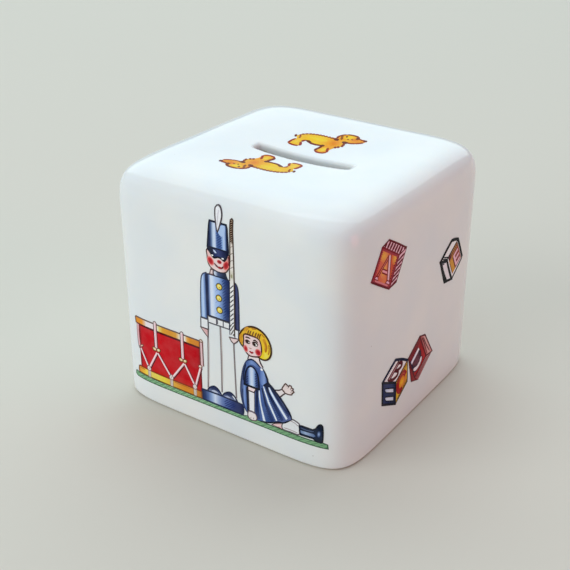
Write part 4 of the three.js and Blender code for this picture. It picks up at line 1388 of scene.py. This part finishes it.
# %% Lower block
def draw_block_lower():
    d = Drawing()
    dark_line = "080c22"
    corner, heel = (-15.9, 20.9), (-15, 11.6)
    top = on_face((-25.5, 25.8), (-16.8, 30.6), corner)
    left = on_face((-25.5, 25.8), corner, (-24.8, 16.5))
    right = on_face(corner, (-7.9, 26), heel)
    d.area(top(*WHOLE_FACE), "fcf6f8", "101a38", 0.6)
    d.hatch(top((0, 0), (1, 0), (1, 0.12), (0, 0.12)), -55, 0.7, 0.3, "6a5a68")
    page = on_face((-16.8, 30.6), (-7.9, 26), (-25.5, 25.8))
    bowls = [page((0.38, 0.14), (0.64, 0.12), (0.78, 0.29), (0.62, 0.46), (0.4, 0.47)),
            page((0.4, 0.48), (0.7, 0.49), (0.86, 0.67), (0.7, 0.87), (0.38, 0.87))]
    d.ruled(bowls, 1.05, "5c0e1c")
    d.lines([page((0.38, 0.08), (0.38, 0.94))], 1.5, "520a18")
    d.lines([page((0.38, 0.16), (0.38, 0.86))], 0.3, "e0a0a8")
    d.area(left(*WHOLE_FACE), Tone((-25.5, 22), (-15, 16), (0, "14204a"), (0.4, "202e60"),
            (1, "0c1430")), dark_line, 0.7)
    for low in (0.36, 0.74):
        d.area(left((0.22, low - 0.09), (0.84, low - 0.1), (0.84, low + 0.1), (0.26, low + 0.09),
                (0.18, low)), Tone((-23.4, 20), (-16.8, 17), (0, "c4d2f2"), (0.5, "e8f0ff"),
                (1, "d2def8")), dark_line, 0.3)
    d.hatch(left((0.06, 0.06), (0.94, 0.06), (0.94, 0.22), (0.06, 0.22)), -27, 0.6, 0.22, "3a4876")
    d.area(right(*WHOLE_FACE), Tone((-15, 13), (-8, 24), (0, "f4cc30"), (0.4, "f0b41e"),
            (0.7, "dc961e"), (1, "f6d83c")))
    d.glow(-11.3, 18.7, 2.8, 2.6, 20, "e07c1a", "f09c14", "fabc20")
    d.line([(-8.7, 20.6), (-10.2, 22.2), (-12.6, 21.7), (-14.1, 19.6), (-14.1, 17.2), (-12.8, 15.6),
            (-10.6, 15.7)], 1.6, "a81008", taper=False)
    d.line([(-9.4, 21.2), (-10.6, 22), (-12.4, 21.5), (-13.7, 19.4)], 0.4, "cc4a24")
    d.hatch(right((0, 0), (1, 0), (1, 0.2), (0, 0.2)), -60, 0.62, 0.26, "8a4a20")
    d.hatch(right((0, 0.86), (1, 0.82), (1, 1), (0, 1)), 75, 0.7, 0.36, "4a3a1c")
    d.lines([right(*WHOLE_FACE)], 0.4, "4a2c18", closed=True)
    d.ruled([[(-25.5, 25.8), (-21.2, 28.3), (-16.9, 30.6)], [(-16.9, 30.6), (-12, 28.4), (-7.9, 26)]],
            0.8, "0a1238")
    d.lines([left(*WHOLE_FACE)], 0.7, dark_line, closed=True)
    return d


print_walls(RIGHT_AND_LEFT, "block_lower", draw_block_lower())


# %% Fallen block
def draw_block_fallen():
    d = Drawing()
    place = on_face((-7.2, 26.2), (1, 31.3), (-1.2, 15.3))
    d.area([(-7.2, 26.2), (-1.2, 15.3), (1.8, 12.8), (-3.6, 14.8)], across((-7.2, "6a1426"),
            (-3, "9a1c22"), (1.8, "7a1a1e")), "5a0f1c", 0.4)
    bottom = [(-1.2, 15.3), (7, 20.4), (11.9, 20), (1.8, 12.8)]
    d.area(bottom, across((-1.2, "b83a40"), (4, "cc8080"), (8, "d49a98"), (11.9, "b06c6c")))
    d.hatch(bottom, 62, 0.62, 0.26, "6a3238")
    d.area(place(*WHOLE_FACE), Tone((-5, 27), (6, 18), (0, "86101e"), (0.3, "9c101a"), (0.7, "b41018"),
            (1, "c0161c")))
    d.hatch(place((0.02, 0.02), (0.98, 0.02), (0.98, 0.16), (0.02, 0.16)), 32, 0.6, 0.22, "5a0c1c")
    stem = [(-5.2, 22.5), (0.7, 26.5)]
    bowl = [(3, 22), (2.5, 20.4), (1, 19.2), (-0.8, 18.8), (-2.6, 19.4)]
    d.area(curve([(-5.2, 22.2), (0.9, 26.2), (3.2, 22), (1, 19.2), (-2.4, 19.2)]), "3a1028")
    d.hatch([(-4, 22), (0.8, 25), (2.4, 22.2), (0.6, 20), (-2.2, 20)], 34, 0.6, 0.26, "8a4a58")
    d.lines([stem], 1.9, "240a34")
    d.line(bowl, 1.9, "240a34", taper=False)
    d.lines([stem], 1.15, Tone(stem[0], stem[1], (0, "f4e6f8"), (0.5, "fcf2fc"), (1, "fff8fc")))
    d.line(bowl, 1.15, "fff2f6")
    d.strokes([[(-5.6, 24.2), (-4.2, 21.4), (-3, 19.6)]], 0.5, "241a44")
    side = [(1, 31.3), (5, 30.1), (11.9, 20), (7, 20.4)]
    d.area(side, Tone((3, 25), (9, 28), (0, "a82a30"), (0.3, "c86a68"), (0.55, "e8b0ac"),
            (0.8, "d08886"), (1, "b8484c")), "5a0f1c", 0.5)
    d.strokes([[(3.6, 29.8), (6.6, 25.2), (9.6, 21.2)], [(2.4, 30.4), (5, 26.4), (7.6, 21)]], 0.34,
            "5e141e")
    d.lines([place(*WHOLE_FACE)], 0.42, "5c0f1d", closed=True)
    return d


print_walls(RIGHT_AND_LEFT, "block_fallen", draw_block_fallen())


# %% [markdown]
# ## The shaggy dogs
# The two toy dogs on the lid are one drawing, used again half a turn round. The coat is a yellow
# area, warmer at the shoulder, and the shagginess is all in the pen: short slanting strokes that
# break the outline along the back, the chest and the ear.


# %% Dog
def draw_dog():
    d = Drawing()
    body = curve([(-8.3, 0.7), (-8.7, 3.5), (-8.2, 6.2), (-9.4, 8), (-8.8, 10.3), (-6.5, 12.2),
            (-3, 13), (1, 13.3), (4.3, 13.2), (4.6, 14), (4.3, 15.6), (5.2, 17.6), (7.5, 18.7),
            (10.3, 18.6), (12, 17.3), (13.5, 16.4), (15.6, 16.5), (16.1, 15.6), (14.9, 13.6),
            (13.3, 12.5), (11, 11.9), (9.2, 12.1), (10.2, 10.3), (10.3, 8.3), (8.6, 5.7), (8, 3.6),
            (8.4, 1), (7, -0.3), (5.2, -0.6), (3.6, 0.2), (3.5, 2), (3.9, 4.8), (2.8, 5.5), (0, 5.1),
            (-2.6, 6.1), (-4, 6.9), (-5, 5.5), (-4.8, 3.8), (-3.7, 1.9), (-4.2, 0.8), (-6, 0.5)])
    d.area(body, across((-9.4, "f8c030"), (-5, "fac422"), (0, "fbcf1e"), (4, "f8ac1e"), (6, "f59a18"),
            (9, "fab81e"), (12, "f6a020"), (16.1, "ee9026")))
    d.glow(6.2, 9.4, 2.6, 4.2, 15, "f8a81c", "f59a18", "f08e16")
    d.glow(8.6, 16.4, 2.4, 1.9, 0, "fbc420", "fcd022", "fad824")
    d.glow(-1.5, 9.8, 4.4, 1.7, 0, "fbcc20", "fbd420", "fad922")
    d.glow(11.8, 15.2, 2.2, 1.7, -10, "f6a024", "f2921e", "ee8a1c")
    d.glow(-6.6, 3.6, 1.1, 2.6, 0, "fbc82c", "fcd436")
    d.glow(5.8, 2.6, 1.4, 2.3, -6, "fbc42a", "fdd834")
    key = "a02c08"
    back = [[(u, v - 0.3), (u + 0.8, v + 0.85)] for u, v in ((-8.6, 10.4), (-7.6, 11.3), (-6.4, 12),
            (-5.3, 12.4), (-4, 12.7), (-2.8, 12.9), (-1.5, 13), (-0.2, 13), (1.2, 13), (2.5, 12.9),
            (3.6, 12.9))]
    d.strokes(back, 0.86, "9a4408")
    chest = [[(u, v), (u + 0.8, v - 1.4)] for u, v in ((9.2, 11.6), (9.6, 10.4), (9.8, 9.2), (9, 7.8),
            (8.2, 7))]
    d.strokes(chest, 0.78, "8e3608")
    d.strokes([[(-8.4, 9.2), (-7.8, 8)], [(-7.9, 8), (-7.5, 6.9)], [(-9, 10), (-8.4, 9.1)]], 0.73,
            "9a3c0c")
    d.strokes([[(-8.4, 0.8), (-8.7, 3.4), (-8.3, 5.8)], [(-8.2, 0.9), (-6, 0.4), (-4.1, 0.8)],
            [(-3.8, 1.2), (-3.9, 2.2), (-5, 4.2)], [(-4.9, 4.6), (-4.9, 5.8), (-4.1, 6.7)]], 0.75, key)
    d.strokes([[(-4.2, 6.7), (-2.9, 6.2), (-1, 5.2), (1.4, 5.1), (3.6, 5.5)], [(3.5, 5.4), (3.7, 3.6),
            (3.4, 1.6), (3.8, 0.1)]], 0.86, "7a2406")
    d.strokes([[(3.8, 0.1), (5.4, -0.6), (7.2, -0.3), (8.2, 0.8)], [(8.3, 1), (7.4, 2.8), (6.6, 4.6)]],
            0.72, key)
    d.strokes([[(-3.9, 6.6), (-2.8, 6.2), (-2, 5.6)], [(2.8, 5.6), (3.7, 5.5), (3.8, 4.6)]], 1.04,
            "6a2408")
    d.strokes([[(4.4, 13.3), (4.6, 14.2), (4.3, 15.6), (5.2, 17.5), (6.4, 18.4)]], 0.68, "8e3408")
    d.strokes([[(6.2, 18.3), (7.6, 18.8), (10.2, 18.7), (11.8, 17.6), (12.4, 16.7)]], 0.75, "8a3a0a")
    d.strokes([[(12.4, 16.9), (13.6, 16.4), (15.2, 16.5)], [(15.6, 14.6), (14.8, 13.6), (13.2, 12.5)],
            [(13.4, 12.6), (11.4, 11.9), (9.2, 12)]], 0.65, "9a3c0c")
    d.strokes([[(4.2, 13.1), (5.3, 12.6), (6.2, 12.8)], [(8.2, 12.1), (9.4, 11.7), (10.6, 11.9)]], 1.3,
            "6e2a0c")
    d.strokes([[(5.3, 16.8), (5.9, 15.4), (6.8, 14)], [(6.9, 17.4), (7.6, 16)],
            [(6, 14.8), (6.9, 13.4)], [(8.6, 15.2), (9.2, 14.4)], [(10, 15.6), (10.8, 14.8)]], 0.6,
            "9a5a10")
    d.strokes([[(11.2, 17.4), (11.9, 16.9), (12.4, 15.9)]], 0.78, "7a3c14")
    d.area(oval(11.6, 16.3, 0.45, 0.34, -20), "5a2a12")
    d.area(oval(15.5, 16, 0.72, 0.8, 20), "6e1c18")
    d.area(oval(-9.9, 8.2, 0.5, 1.1, 22), "6e1c18")
    return d


# %% Print the lid
DOG_FEET = {"lid_dog_back": ((-4, 8.2), 0), "lid_dog_front": ((-4, -5.9), 180)}
dog = draw_dog()
for node, (feet, spin) in DOG_FEET.items():
    film = lay(dog, lid_point, 0, feet, spin)
    finished(film, f"print_{node}", "bank", node, ink_material)
dog.bm.free()

# %% [markdown]
# ## Table and light
# White gloss shows its surroundings, so the light is the finish. The strongest lamp is a very
# large soft box high behind the pot: its mirror image covers the whole lid as one even sheen. A
# small one overhead fills it in. The front wall is lit from the left by a lamp with a polarising
# sheet, which leaves no white strip on the shoulder, so its mirror image is switched off. A card of
# faint rose stands at the right, where it tints the shaded wall. The table is a pale matt disc,
# and a pale world fills the rest.

# %% Table
TABLE_RADIUS = 3.0

disc = bmesh.new()
bmesh.ops.create_circle(disc, cap_ends=True, segments=96, radius=TABLE_RADIUS)
table_mesh = bpy.data.meshes.new("table")
disc.to_mesh(table_mesh)
disc.free()
table = bpy.data.objects.new("table", table_mesh)
bpy.context.scene.collection.objects.link(table)
paper, _, paper_shader = new_material("pale matt paper")
paper_shader.inputs["Base Color"].default_value = linear("dad5c9")
paper_shader.inputs["Roughness"].default_value = 0.9
table_mesh.materials.append(paper)
print("table", 2 * TABLE_RADIUS, "m across")

# %% Light
TARGET = Vector((0, 0, 45.4)) * MM
ROOM_LIGHT = 0.35


def direction(azimuth, elevation):
    """Away from the pot: azimuth from the front towards the right wall, in degrees."""
    a, e = math.radians(azimuth), math.radians(elevation)
    return Vector((math.sin(a) * math.cos(e), -math.cos(a) * math.cos(e), math.sin(e)))


def soft_box(name, azimuth, elevation, distance, size, power, colour, mirrored=True):
    """An area light that looks at the pot from a direction, with or without a mirror image."""
    lamp = bpy.data.lights.new(name, "AREA")
    lamp.shape = "RECTANGLE"
    lamp.size, lamp.size_y = size
    lamp.energy = power
    lamp.color = linear(colour)[:3]
    holder = bpy.data.objects.new(name, lamp)
    away = direction(azimuth, elevation)
    holder.location = TARGET + away * distance
    holder.rotation_mode = "QUATERNION"
    holder.rotation_quaternion = (-away).to_track_quat("-Z", "Y")
    holder.visible_glossy = mirrored
    bpy.context.scene.collection.objects.link(holder)
    print("soft box", name, power, "W")


soft_box("overhead", 0, 88, 1.3, (1.5, 1.5), 5.0, "e6f7ff")
soft_box("behind", 213, 42, 2.2, (4.2, 2.6), 41.0, "e6f9ff")
soft_box("front_left", -28, 20, 2.0, (1.9, 1.9), 23.0, "f4faff", mirrored=False)
soft_box("rose_card", 95, 10, 0.9, (0.35, 0.6), 1.2, "ff7c84")

world = bpy.data.worlds.new("pale room")
bpy.context.scene.world = world
world.use_nodes = True
room = world.node_tree.nodes["Background"]
room.inputs["Color"].default_value = linear("eef1f5")
room.inputs["Strength"].default_value = ROOM_LIGHT
bpy.context.scene.view_settings.view_transform = "Standard"

# %% [markdown]
# ## Camera
# A pot this small is looked at from close by and from above, so its upright edges lean together
# a little towards the foot. A lens of about 65 mm at 38 cm gives the same. The small shift slides
# the frame without changing that perspective.

# %% Camera
AZIMUTH = 33.5267
ELEVATION = 26.3378
ROLL = 0.3889
DISTANCE = 382.6 * MM
LENS = 64.65
SENSOR = 36
SHIFT = (-0.0294, -0.0319)

camera = bpy.data.objects.new("camera", bpy.data.cameras.new("camera"))
bpy.context.scene.collection.objects.link(camera)
towards_camera = direction(AZIMUTH, ELEVATION)
camera.location = TARGET + towards_camera * DISTANCE
looking = (-towards_camera).to_track_quat("-Z", "Y").to_matrix()
camera.rotation_euler = (looking @ Matrix.Rotation(math.radians(ROLL), 3, "Z")).to_euler()
camera.data.sensor_width = SENSOR
camera.data.lens = LENS
camera.data.shift_x, camera.data.shift_y = SHIFT
camera.data.clip_start = 0.01
camera.data.clip_end = 50
bpy.context.scene.camera = camera
print("camera", round(DISTANCE / MM), "mm away,", LENS, "mm lens")
